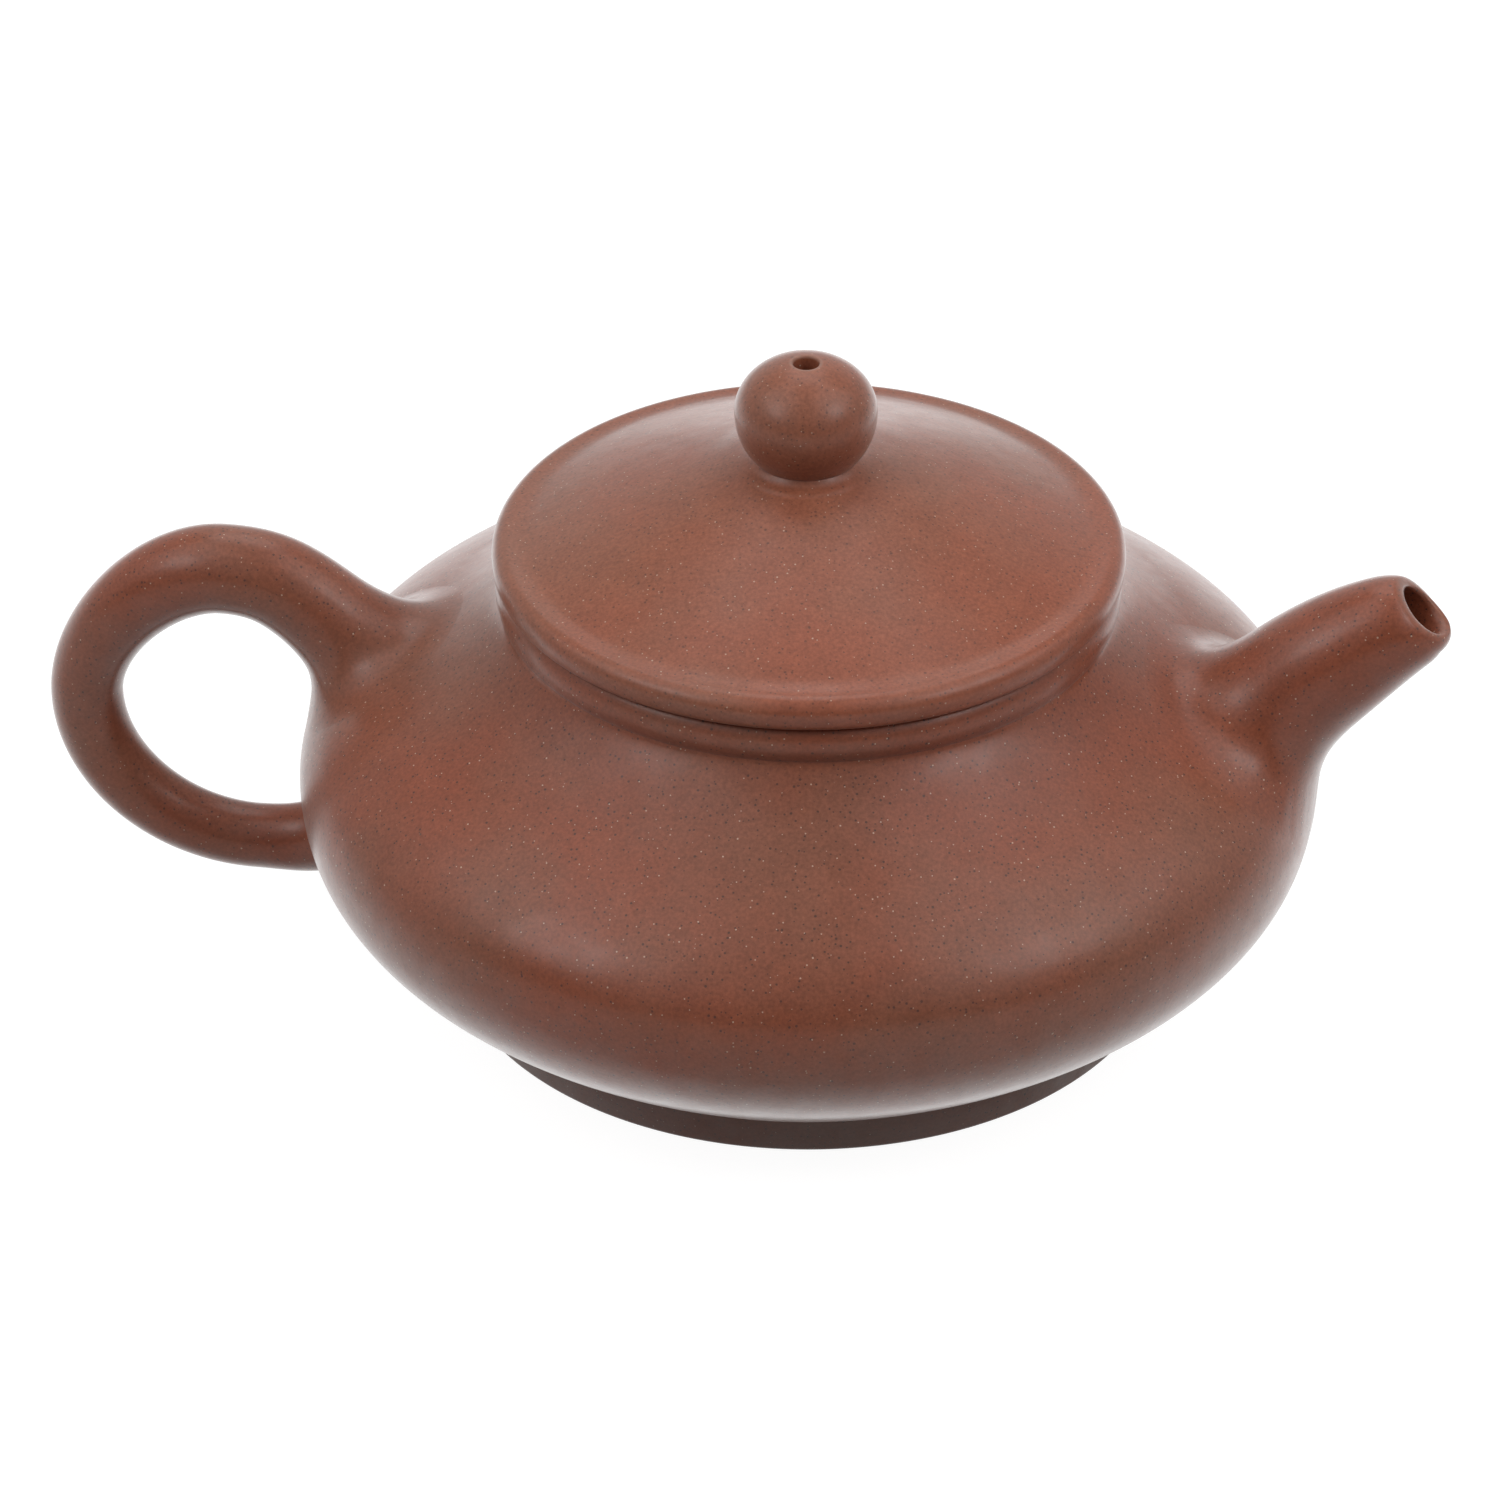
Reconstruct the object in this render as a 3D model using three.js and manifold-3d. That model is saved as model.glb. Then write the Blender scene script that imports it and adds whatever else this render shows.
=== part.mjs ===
// A squat, unglazed clay teapot for one or two people, built the way a potter builds it:
// every piece below is formed by itself and luted to its neighbour with a thin layer of slip.
// Millimetres, +Z up. The spout points along +X and the handle along -X. The foot stands on Z = 0.

import * as THREE from "three";
import { mergeVertices } from "three/addons/utils/BufferGeometryUtils.js";
import Module from "manifold-3d";

const wasm = await Module();
wasm.setup();

// Driving dimensions. Radii are from the pot's upright axis, heights from the table.

// How pieces meet
const slipGap = 0.3; // slip between two luted pieces
const rootDepth = 6; // how far spout and handle are drawn into the body before they are cut to it
const seatGap = 0.3; // between the resting lid and the neck ring
const lidPlay = 0.4; // between the lid's flange and the mouth, all round

// Foot ring and base
const footHeight = 4.7;
const footWall = 3.4;
const footInset = 1.9; // how far the foot ring stands in from the base's edge
const footTaper = 0.5; // the ring widens by this much from the table to the base
const footChamfer = 0.4;
const baseRadius = 39.1; // edge of the base disc's underside
const baseThickness = 3.0;

// Body wall: three smooth curves from the base over the belly and shoulder into the neck
const wall = 3.0;
const bellyRadius = 52.5;
const bellyHeight = 22.6;
const baseRise = THREE.MathUtils.degToRad(36); // slope of the wall where it leaves the base
const baseReach = 9.8; // how far each end of a curve keeps its direction
const bellyReachDown = 7.9;
const bellyReachUp = 5.4;
const shoulderRadius = 40.4;
const shoulderHeight = 35.7;
const shoulderSlope = THREE.MathUtils.degToRad(29.4);
const shoulderReachOut = 8.9;
const shoulderReachIn = 3.2;
const bodyTopHeight = 43.0;
const neckReachDown = 3.3;

// Neck ring
const mouthRadius = 28.4; // the opening that the lid's flange drops into
const neckWall = 3.5;
const neckHeight = 3.5;
const neckLedge = 0.5; // the ring stands this far out over the top of the body wall
const neckRound = 0.9; // rounded edges of the ring

// Lid
const lidOverhang = 0.35; // beyond the neck ring
const lidBeadRadius = 1.75; // rounded rim of the lid
const lidBeadWidth = 3.3; // from the lid's edge to the foot of the dome
const lidBeadHeight = 3.35; // from the seat to the foot of the dome
const lidBeadLip = 0.15; // the bead stands this far above the foot of the dome
const lidEdgeTuck = 0.35; // the underside's edge is set in from the bead
const lidDomeRise = 7.95;
const lidDomeStartSlope = THREE.MathUtils.degToRad(24);
const lidDomeEndSlope = THREE.MathUtils.degToRad(20);
const lidDomeReach = 7.5; // how far each end of the dome's curve keeps its slope
const lidWall = 3.0;
const lidStepRadius = 8.6; // low round platform that the knob stands on
const lidStepHeight = 0.5;
const lidStepRise = 0.5; // the platform swells by this much up to the knob
const lidStepDraft = 0.4;
const flangeDepth = 7.0;
const flangeWall = 2.6;
const flangeFillet = 1.0; // the lid's underside slopes over at least this much inside the flange
const flangeDraft = 0.4; // the flange narrows by this much towards its lower edge

// Knob and air hole
const knobRadius = 7.23;
const knobBaseRadius = 5.75;
const knobLowerRound = 8.5; // half height of the long ellipse below its widest point
const knobUpperRound = 5.7; // and of the flatter one above it
const ventRadius = 1.3;
const ventFlare = 0.2; // the hole opens by this much at the top of the knob
const ventFlareDepth = 0.8;

// Spout
const spoutRootHeight = 32.4; // where its centre line meets the outside of the shoulder
const spoutLean = THREE.MathUtils.degToRad(46); // of the centre line at the root
const spoutTipLean = THREE.MathUtils.degToRad(24);
const spoutOverhang = 9.85; // centre of the mouth beyond the belly
const spoutBelowRim = 0.8; // centre of the mouth below the neck ring's top
const spoutRootReach = 7.0;
const spoutTipReach = 7.0;
const spoutTipRadius = 4.65;
const spoutRootRadius = 7.1;
const spoutTaper = 2.3; // power of the taper: the spout stays full and then draws in near its tip
const spoutSpread = 3.2; // extra radius where the root flares into the shoulder
const spoutSpreadReach = 10.5;
const spoutRunOut = 4; // the tube goes on this far past its mouth before it is cut
const spoutNose = 1.8; // length over which the tip rounds over to the mouth's plane
const spoutNoseDrop = 0.4; // how much radius that rounding takes
const boreTipRadius = 3.1;
const boreRootRadius = 5.1;
const boreSpread = 1.4; // the bore opens towards the body
const mouthLean = THREE.MathUtils.degToRad(37); // direction that the cut mouth faces, above level

// Domed filter inside the root of the spout
const filterRadius = 9.0;
const filterWall = 1.5;
const filterHoleRadius = 1.0;
const filterRings = [6, 12]; // holes round the middle one
const filterRingAngle = THREE.MathUtils.degToRad(25);

// Handle
const handleTopRootHeight = 32.9;
const handleTopLean = THREE.MathUtils.degToRad(35);
const handleCrownOut = 8.3; // crown of the centre line beyond the belly
const handleBelowRim = 5.5; // crown of the centre line below the neck ring's top
const handleBackOut = 23.45; // back of the centre line beyond the belly
const handleBackHeight = 25.1;
const handleUnderOut = 5.9; // lowest point of the centre line beyond the belly
const handleUnderHeight = 8.6;
const handleFootRootHeight = 11.8;
const handleFootLean = THREE.MathUtils.degToRad(-58);
const handleReachTop = 9.4;
const handleReachCrown = 7.0;
const handleReachBackUp = 7.4;
const handleReachBackDown = 9.3;
const handleReachUnder = 9.4;
const handleReachFoot = 4.6;
const handleRadii = [5.1, 4.65, 3.75, 3.4, 3.5]; // at top root, crown, back, lowest point, foot root
const handleSpread = 2.3;
const handleSpreadReach = 8.5;
const flarePower = 2.5; // how quickly a root's flare fades away from the body

// Facets
const roundSides = 52;
const knobSides = 32;
const spoutSides = 22;
const spoutRings = 30;
const boreRings = 14;
const handleSides = 16;
const handleRings = 38;
const filterSides = 18;
const holeSides = 8;
const outlineSteps = [7, 8, 5]; // along the three curves of the body's outside
const innerSteps = [5, 6, 4];
const cornerSteps = 3;
const weldDistance = 1e-4;
const closeStep = 0.2; // points nearer than this to a cut are left out
const domeSteps = 4;
const knobLowSteps = 4;
const knobCapSteps = 7;

// Sizes that follow
const footRadius = baseRadius - footInset;
const baseUnderside = footHeight + slipGap;
const baseTop = baseUnderside + baseThickness;
const neckRadius = mouthRadius + neckWall;
const neckBottom = bodyTopHeight + slipGap;
const neckTop = neckBottom + neckHeight;
const lidSeat = neckTop + seatGap;
const lidRadius = neckRadius + lidOverhang;
const flangeRadius = mouthRadius - lidPlay;
const flangeInnerRadius = flangeRadius - flangeWall;

// Materials
const bodyClay = new THREE.MeshStandardMaterial({ color: 0x7b5145, roughness: 0.5, metalness: 0 });
const lidClay = new THREE.MeshStandardMaterial({ color: 0x8a5d50, roughness: 0.5, metalness: 0 });
const innerClay = new THREE.MeshStandardMaterial({ color: 0x6d483d, roughness: 0.7, metalness: 0 });

// Helpers

const at = (r, z) => new THREE.Vector2(r, z);

/** A vector of the given length along a slope, outwards and up in the (radius, height) plane. */
function along(angle, length) {
  return at(Math.cos(angle) * length, Math.sin(angle) * length);
}

/** A solid from a closed geometry, for cutting. */
function toSolid(geometry) {
  const bare = geometry.clone();
  bare.deleteAttribute("normal");
  bare.deleteAttribute("uv");
  const welded = mergeVertices(bare, weldDistance);
  const corners = welded.index.array;
  const faces = [];
  for (let i = 0; i < corners.length; i += 3) {
    const [a, b, c] = corners.slice(i, i + 3);
    if (a !== b && b !== c && c !== a) faces.push(a, b, c);
  }
  return new wasm.Manifold(
    new wasm.Mesh({
      numProp: 3,
      vertProperties: new Float32Array(welded.attributes.position.array),
      triVerts: new Uint32Array(faces),
    }),
  );
}

function toGeometry(solid) {
  const { vertProperties, triVerts } = solid.getMesh();
  const geometry = new THREE.BufferGeometry();
  geometry.setAttribute("position", new THREE.BufferAttribute(vertProperties, 3));
  geometry.setIndex(new THREE.BufferAttribute(triVerts, 1));
  return geometry;
}

/** Turns a (radius, height) profile round the pot's axis. The profile runs up its outside. */
function revolve(profile, sides = roundSides) {
  const geometry = new THREE.LatheGeometry(profile, sides);
  geometry.rotateX(Math.PI / 2);
  geometry.deleteAttribute("normal");
  geometry.deleteAttribute("uv");
  return mergeVertices(geometry, weldDistance);
}

/** Closes a profile on itself, so that it turns into a ring. */
const ring = (points) => [...points, points[0].clone()];

/** Closes a profile on the axis, so that it turns into a plug. */
function plug(points) {
  const last = points[points.length - 1];
  return [at(0, points[0].y), ...points, at(0, last.y)];
}

/** Points of a rounded corner, a quarter of an ellipse that starts and ends along the axes. */
function quarter(centre, r, z, from) {
  const arc = new THREE.EllipseCurve(centre.x, centre.y, r, z, from, from + Math.PI / 2);
  return arc.getPoints(cornerSteps);
}

/** Moves a profile sideways by a distance: positive is outwards from an upward profile. */
function offset(profile, distance) {
  return profile.map((point, i) => {
    const before = profile[Math.max(i - 1, 0)];
    const after = profile[Math.min(i + 1, profile.length - 1)];
    const run = after.clone().sub(before).normalize();
    return at(point.x + run.y * distance, point.y - run.x * distance);
  });
}

/** Radius of a profile where it passes a height, by straight lines between its points. */
function radiusAt(profile, height) {
  const i = profile.findIndex((point, k) => k > 0 && point.y >= height);
  const [low, high] = [profile[i - 1], profile[i]];
  return THREE.MathUtils.mapLinear(height, low.y, high.y, low.x, high.x);
}

const pot = new THREE.Group();

function add(name, geometry, material) {
  geometry.computeVertexNormals();
  const mesh = new THREE.Mesh(geometry, material);
  mesh.name = name;
  pot.add(mesh);
}

// Outline of the body, from the base's underside up to the neck

const basePoint = at(baseRadius, baseUnderside);
const bellyPoint = at(bellyRadius, bellyHeight);
const shoulderPoint = at(shoulderRadius, shoulderHeight);
const bodyTopPoint = at(neckRadius - neckLedge, bodyTopHeight);
const upTheShoulder = along(Math.PI - shoulderSlope, 1);

const underBelly = new THREE.CubicBezierCurve(
  basePoint,
  basePoint.clone().add(along(baseRise, baseReach)),
  bellyPoint.clone().sub(at(0, bellyReachDown)),
  bellyPoint,
);
const overBelly = new THREE.CubicBezierCurve(
  bellyPoint,
  bellyPoint.clone().add(at(0, bellyReachUp)),
  shoulderPoint.clone().addScaledVector(upTheShoulder, -shoulderReachOut),
  shoulderPoint,
);
const intoNeck = new THREE.CubicBezierCurve(
  shoulderPoint,
  shoulderPoint.clone().addScaledVector(upTheShoulder, shoulderReachIn),
  bodyTopPoint.clone().sub(at(0, neckReachDown)),
  bodyTopPoint,
);

/** Points up the body's outline, with so many steps along each of its three curves. */
function outlinePoints([under, over, neck]) {
  return [
    ...underBelly.getPoints(under),
    ...overBelly.getPoints(over).slice(1),
    ...intoNeck.getPoints(neck).slice(1),
  ];
}

const outline = outlinePoints(outlineSteps);
const innerOutline = offset(outlinePoints(innerSteps), -wall);

/** The part of an outline that lies above a height, starting exactly on it. */
function above(profile, height) {
  const rest = profile.filter((point) => point.y > height + closeStep);
  return [at(radiusAt(profile, height), height), ...rest];
}

/** How far a point lies outside the body's outline, negative inside it. */
function standOff(radius, height) {
  let nearest = Infinity;
  let side = 1;
  for (let i = 1; i < outline.length; i += 1) {
    const run = outline[i].clone().sub(outline[i - 1]);
    const gap = at(radius, height).sub(outline[i - 1]);
    gap.addScaledVector(run, -THREE.MathUtils.clamp(gap.dot(run) / run.lengthSq(), 0, 1));
    if (gap.length() < nearest) {
      nearest = gap.length();
      side = gap.x * run.y > gap.y * run.x ? 1 : -1;
    }
  }
  return side * nearest;
}

/**
 * A closed cylinder bent along a curve in the XZ plane. Its radius follows the distance along the
 * curve and the direction from its middle, and grows by the spread where the tube comes within
 * reach of the body's skin.
 */
function bentTube(curve, radiusFor, spread, reach, rings, sides) {
  const length = curve.getLength();
  const tube = new THREE.CylinderGeometry(1, 1, 1, sides, rings);
  const position = tube.attributes.position;
  for (let i = 0; i < position.count; i += 1) {
    const t = THREE.MathUtils.clamp(position.getY(i) + 0.5, 0, 1);
    const centre = curve.getPointAt(t);
    const run = curve.getTangentAt(t);
    const outward = new THREE.Vector3(
      run.y * position.getZ(i),
      position.getX(i),
      -run.x * position.getZ(i),
    );
    const middle = new THREE.Vector3(centre.x, 0, centre.y);
    const radius = radiusFor(t * length, middle, outward);
    const widest = middle.clone().addScaledVector(outward, radius + spread);
    const height = standOff(Math.hypot(widest.x, widest.y), widest.z);
    const nearness = THREE.MathUtils.clamp(1 - height / reach, 0, 1);
    middle.addScaledVector(outward, radius + spread * nearness ** flarePower);
    position.setXYZ(i, middle.x, middle.y, middle.z);
  }
  return tube;
}

// Body wall: beaten from a slab, open at the bottom for the base and at the top for the mouth

const wallBottom = baseTop + slipGap;
const outerWall = above(outline, wallBottom);
const innerWall = above(innerOutline, wallBottom).filter((point) => point.x > mouthRadius);
const lastInner = innerWall[innerWall.length - 1];
const innerTopRadius = Math.max(mouthRadius, neckRadius - neckLedge - wall);
const mouthCut = [
  at(innerTopRadius, (lastInner.y + bodyTopHeight) / 2),
  at(innerTopRadius, bodyTopHeight),
];
const wallSolid = toSolid(revolve(ring([...outerWall, ...mouthCut.reverse(), ...innerWall.reverse()])));

// Everything that leans on the body is cut by its outline, held off by the slip

const outerSkin = toSolid(revolve(plug(offset(outline, slipGap))));
const innerSkin = toSolid(revolve(plug(above(offset(innerOutline, -slipGap), wallBottom))));

// Spout: a bent, tapering tube whose mouth is cut on a slant, and its bore through the wall

const spoutRoot = at(radiusAt(outline, spoutRootHeight), spoutRootHeight);
const spoutTip = at(bellyRadius + spoutOverhang, neckTop - spoutBelowRim);
const spoutInside = spoutRoot.clone().sub(along(spoutLean, rootDepth));
const spoutPastTip = spoutTip.clone().add(along(spoutTipLean, spoutRunOut));
const spoutLine = new THREE.CurvePath();
spoutLine.add(new THREE.LineCurve(spoutInside, spoutRoot));
spoutLine.add(
  new THREE.CubicBezierCurve(
    spoutRoot,
    spoutRoot.clone().add(along(spoutLean, spoutRootReach)),
    spoutTip.clone().sub(along(spoutTipLean, spoutTipReach)),
    spoutTip,
  ),
);
spoutLine.add(new THREE.LineCurve(spoutTip, spoutPastTip));
const mouthCentre = new THREE.Vector3(spoutTip.x, 0, spoutTip.y);
const mouthFacing = new THREE.Vector3(Math.cos(mouthLean), 0, Math.sin(mouthLean));
const spoutStart = spoutInside.distanceTo(spoutRoot);
const spoutLength = spoutLine.getLength() - spoutStart - spoutTip.distanceTo(spoutPastTip);

/** Radius of the spout's outside: it tapers along its line and rounds over near the mouth's plane. */
function spoutRadius(distance, middle, outward) {
  const way = THREE.MathUtils.clamp((distance - spoutStart) / spoutLength, 0, 1);
  const taper = THREE.MathUtils.lerp(spoutRootRadius, spoutTipRadius, way ** spoutTaper);
  const skin = middle.clone().addScaledVector(outward, taper);
  const behindMouth = mouthCentre.clone().sub(skin).dot(mouthFacing);
  const intoNose = THREE.MathUtils.clamp(1 - behindMouth / spoutNose, 0, 1);
  return taper - spoutNoseDrop * (1 - Math.sqrt(1 - intoNose ** 2));
}

/** Radius of the spout's bore at a distance along its line. */
function boreRadius(distance) {
  const fromRoot = distance - spoutStart;
  const way = THREE.MathUtils.clamp(fromRoot / spoutLength, 0, 1);
  return THREE.MathUtils.lerp(boreRootRadius, boreTipRadius, way);
}

const spoutTube = toSolid(
  bentTube(spoutLine, spoutRadius, spoutSpread, spoutSpreadReach, spoutRings, spoutSides),
);
const boreTube = toSolid(
  bentTube(spoutLine, boreRadius, boreSpread, spoutSpreadReach, boreRings, spoutSides),
);
const mouthCutSize = 4 * spoutTipRadius;
const mouthKnife = new THREE.BoxGeometry(mouthCutSize, mouthCutSize, mouthCutSize);
mouthKnife.translate(mouthCutSize / 2, 0, 0);
mouthKnife.rotateY(-mouthLean);
mouthKnife.translate(spoutTip.x, 0, spoutTip.y);
const spoutSolid = spoutTube.subtract(boreTube).subtract(toSolid(mouthKnife)).subtract(outerSkin);

// Filter: a pierced dome luted over the spout's hole from inside

const filterCentre = at(radiusAt(innerOutline, spoutRootHeight - wall), spoutRootHeight - wall);
const inwards = new THREE.Vector3(-Math.cos(spoutLean), 0, -Math.sin(spoutLean));
const filterOuter = new THREE.SphereGeometry(filterRadius, filterSides, filterSides / 2);
const filterInner = new THREE.SphereGeometry(filterRadius - filterWall, filterSides, filterSides / 2);

/** A round pin through the filter's wall, turned off its middle by a polar angle and a bearing. */
function filterPin(polar, bearing) {
  const length = 4 * filterWall;
  const pin = new THREE.CylinderGeometry(filterHoleRadius, filterHoleRadius, length, holeSides);
  pin.translate(0, filterRadius - filterWall / 2, 0);
  pin.rotateX(polar);
  pin.rotateY(bearing);
  return pin;
}

const filterPins = [filterPin(0, 0)];
filterRings.forEach((count, ringIndex) => {
  for (let k = 0; k < count; k += 1) {
    filterPins.push(filterPin(filterRingAngle * (ringIndex + 1), (2 * Math.PI * k) / count));
  }
});
const toFilterPlace = new THREE.Matrix4()
  .makeTranslation(filterCentre.x, 0, filterCentre.y)
  .multiply(
    new THREE.Matrix4().makeRotationFromQuaternion(
      new THREE.Quaternion().setFromUnitVectors(new THREE.Vector3(0, 1, 0), inwards),
    ),
  );
let filterSolid = toSolid(filterOuter.applyMatrix4(toFilterPlace))
  .subtract(toSolid(filterInner.applyMatrix4(toFilterPlace)))
  .intersect(innerSkin);
for (const pin of filterPins) {
  filterSolid = filterSolid.subtract(toSolid(pin.applyMatrix4(toFilterPlace)));
}

// Handle: one tapering coil, bent to an ear between the shoulder and the underside of the belly

const handleTopRoot = at(radiusAt(outline, handleTopRootHeight), handleTopRootHeight);
const handleFootRoot = at(radiusAt(outline, handleFootRootHeight), handleFootRootHeight);
const handleCrown = at(bellyRadius + handleCrownOut, neckTop - handleBelowRim);
const handleBack = at(bellyRadius + handleBackOut, handleBackHeight);
const handleUnder = at(bellyRadius + handleUnderOut, handleUnderHeight);
const stretches = [
  new THREE.LineCurve(
    handleTopRoot.clone().sub(along(handleTopLean, rootDepth)),
    handleTopRoot,
  ),
  new THREE.CubicBezierCurve(
    handleTopRoot,
    handleTopRoot.clone().add(along(handleTopLean, handleReachTop)),
    handleCrown.clone().sub(at(handleReachCrown, 0)),
    handleCrown,
  ),
  new THREE.CubicBezierCurve(
    handleCrown,
    handleCrown.clone().add(at(handleReachCrown, 0)),
    handleBack.clone().add(at(0, handleReachBackUp)),
    handleBack,
  ),
  new THREE.CubicBezierCurve(
    handleBack,
    handleBack.clone().sub(at(0, handleReachBackDown)),
    handleUnder.clone().add(at(handleReachUnder, 0)),
    handleUnder,
  ),
  new THREE.CubicBezierCurve(
    handleUnder,
    handleUnder.clone().sub(at(handleReachFoot, 0)),
    handleFootRoot.clone().add(along(handleFootLean, handleReachFoot)),
    handleFootRoot,
  ),
  new THREE.LineCurve(
    handleFootRoot,
    handleFootRoot.clone().sub(along(handleFootLean, rootDepth)),
  ),
];
const handleLine = new THREE.CurvePath();
stretches.forEach((stretch) => handleLine.add(stretch));
const stretchEnds = handleLine.getCurveLengths();

/** Radius of the coil: a smooth run between its named radii. */
function handleRadius(distance) {
  const k = THREE.MathUtils.clamp(
    stretchEnds.findIndex((end) => distance < end) - 1,
    0,
    handleRadii.length - 2,
  );
  const way = THREE.MathUtils.smoothstep(distance, stretchEnds[k], stretchEnds[k + 1]);
  return THREE.MathUtils.lerp(handleRadii[k], handleRadii[k + 1], way);
}

const handleTube = bentTube(
  handleLine,
  handleRadius,
  handleSpread,
  handleSpreadReach,
  handleRings,
  handleSides,
);
handleTube.scale(-1, 1, 1);
handleTube.index.array.reverse();
const handleSolid = toSolid(handleTube).subtract(outerSkin);

// Base disc and foot ring

const baseEdge = [
  ...outline.filter((point) => point.y < baseTop - closeStep),
  at(radiusAt(outline, baseTop), baseTop),
];
const footOuter = [
  at(footRadius - footChamfer, 0),
  at(footRadius, footChamfer),
  at(footRadius + footTaper, footHeight),
];
const footInner = [
  at(footRadius - footWall, footHeight),
  at(footRadius - footWall, footChamfer),
  at(footRadius - footWall + footChamfer, 0),
];

// Neck ring

const lowRound = at(neckRadius - neckRound, neckBottom + neckRound / 2);
const highRound = at(neckRadius - neckRound, neckTop - neckRound);
const neckOuter = [
  at(mouthRadius, neckBottom),
  ...quarter(lowRound, neckRound, neckRound / 2, -Math.PI / 2),
  ...quarter(highRound, neckRound, neckRound, 0),
  at(mouthRadius, neckTop),
];

// Lid plate: a rounded rim, a low dome and a small platform for the knob

const domeFoot = at(lidRadius - lidBeadWidth, lidSeat + lidBeadHeight);
const domeTop = at(lidStepRadius, domeFoot.y + lidDomeRise);
const dome = new THREE.CubicBezierCurve(
  domeFoot,
  domeFoot.clone().add(along(Math.PI - lidDomeStartSlope, lidDomeReach)),
  domeTop.clone().sub(along(Math.PI - lidDomeEndSlope, lidDomeReach)),
  domeTop,
).getPoints(domeSteps);
const beadCentre = at(lidRadius - lidBeadRadius, domeFoot.y - lidBeadRadius + lidBeadLip);
const bead = quarter(beadCentre, lidBeadRadius, lidBeadRadius, 0);
const stepTop = domeTop.y + lidStepHeight;
const knobSeat = stepTop + lidStepRise;
const domeInside = offset(dome, -lidWall);
const lidOutline = ring([
  at(flangeInnerRadius, lidSeat),
  at(lidRadius - lidEdgeTuck, lidSeat),
  ...bead,
  ...dome,
  at(lidStepRadius - lidStepDraft, stepTop),
  at(knobBaseRadius, knobSeat),
  at(ventRadius, knobSeat),
  at(ventRadius, domeTop.y - lidWall),
  ...domeInside.filter((point) => point.x < flangeInnerRadius - flangeFillet).reverse(),
]);

// Lid flange: the ring that keeps the lid centred in the mouth

const flangeTop = lidSeat - slipGap;
const flangeBottom = lidSeat - flangeDepth;
const flangeOutline = ring([
  at(flangeInnerRadius, flangeBottom),
  at(flangeRadius - flangeDraft, flangeBottom),
  at(flangeRadius, flangeTop),
  at(flangeInnerRadius, flangeTop),
]);

// Knob: a flattened ball on a tapering base, with the air hole through it

const knobBase = knobSeat + slipGap;
const knobFoot = -Math.acos(knobBaseRadius / knobRadius);
const knobWaist = knobBase - knobLowerRound * Math.sin(knobFoot);
const knobTop = knobWaist + knobUpperRound;
const ventRim = Math.acos((ventRadius + ventFlare) / knobRadius);
const knobLow = new THREE.EllipseCurve(0, knobWaist, knobRadius, knobLowerRound, knobFoot, 0);
const knobCap = new THREE.EllipseCurve(0, knobWaist, knobRadius, knobUpperRound, 0, ventRim);
const knobOutline = ring([
  at(ventRadius, knobBase),
  ...knobLow.getPoints(knobLowSteps),
  ...knobCap.getPoints(knobCapSteps).slice(1),
  at(ventRadius, knobTop - ventFlareDepth),
]);

// Assembly

add("body_shell", toGeometry(wallSolid.subtract(boreTube)), bodyClay);
add("base_disc", revolve(plug(baseEdge)), bodyClay);
add("foot_ring", revolve(ring([...footOuter, ...footInner])), bodyClay);
add("neck_ring", revolve(ring(neckOuter)), bodyClay);
add("spout", toGeometry(spoutSolid), bodyClay);
add("spout_filter", toGeometry(filterSolid), innerClay);
add("handle", toGeometry(handleSolid), bodyClay);
add("lid_plate", revolve(lidOutline), lidClay);
add("lid_flange", revolve(flangeOutline), innerClay);
add("lid_knob", revolve(knobOutline, knobSides), lidClay);

// The origin lies on the table, under the middle of the pot's length
const extent = new THREE.Box3().setFromObject(pot);
pot.position.x = -(extent.min.x + extent.max.x) / 2;

export default pot;
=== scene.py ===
# A small unglazed clay teapot, dressed for its portrait.
#
# The CAD part gives the pot its sizes, its pieces and its moving lid. This script lays a finer
# skin over each piece, gives the skins the look of fired clay, and sets up light and camera.

# %% [markdown]
# ## The fixed frame
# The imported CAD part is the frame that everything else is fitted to. It is loaded first and is
# never moved. Blender works in metres, and a potter thinks in millimetres, so shapes are worked
# out in millimetres about the pot's upright axis, and become metres when they become meshes.

import math

import bmesh
import bpy
import numpy as np
from mathutils import Matrix, Vector


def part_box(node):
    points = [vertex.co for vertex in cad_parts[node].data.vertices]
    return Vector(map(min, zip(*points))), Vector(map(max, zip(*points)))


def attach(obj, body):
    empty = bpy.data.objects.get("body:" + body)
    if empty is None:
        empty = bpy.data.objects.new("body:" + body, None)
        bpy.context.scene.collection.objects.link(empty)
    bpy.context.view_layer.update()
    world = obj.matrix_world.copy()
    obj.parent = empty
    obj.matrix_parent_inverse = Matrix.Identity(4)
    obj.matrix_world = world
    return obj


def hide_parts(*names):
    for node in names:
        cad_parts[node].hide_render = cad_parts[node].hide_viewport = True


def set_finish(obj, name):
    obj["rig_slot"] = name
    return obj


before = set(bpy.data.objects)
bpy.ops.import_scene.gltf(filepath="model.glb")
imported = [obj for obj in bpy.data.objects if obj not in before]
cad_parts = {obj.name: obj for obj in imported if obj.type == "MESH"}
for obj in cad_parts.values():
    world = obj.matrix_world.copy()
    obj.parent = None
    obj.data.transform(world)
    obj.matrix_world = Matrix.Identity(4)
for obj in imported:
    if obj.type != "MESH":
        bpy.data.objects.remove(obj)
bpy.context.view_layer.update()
METRES = 0.001

ring_low, ring_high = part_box("neck_ring")
AXIS_X = (ring_low.x + ring_high.x) / 2 / METRES
print(f"the pot's upright axis stands at x = {AXIS_X:.2f} mm")

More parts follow.
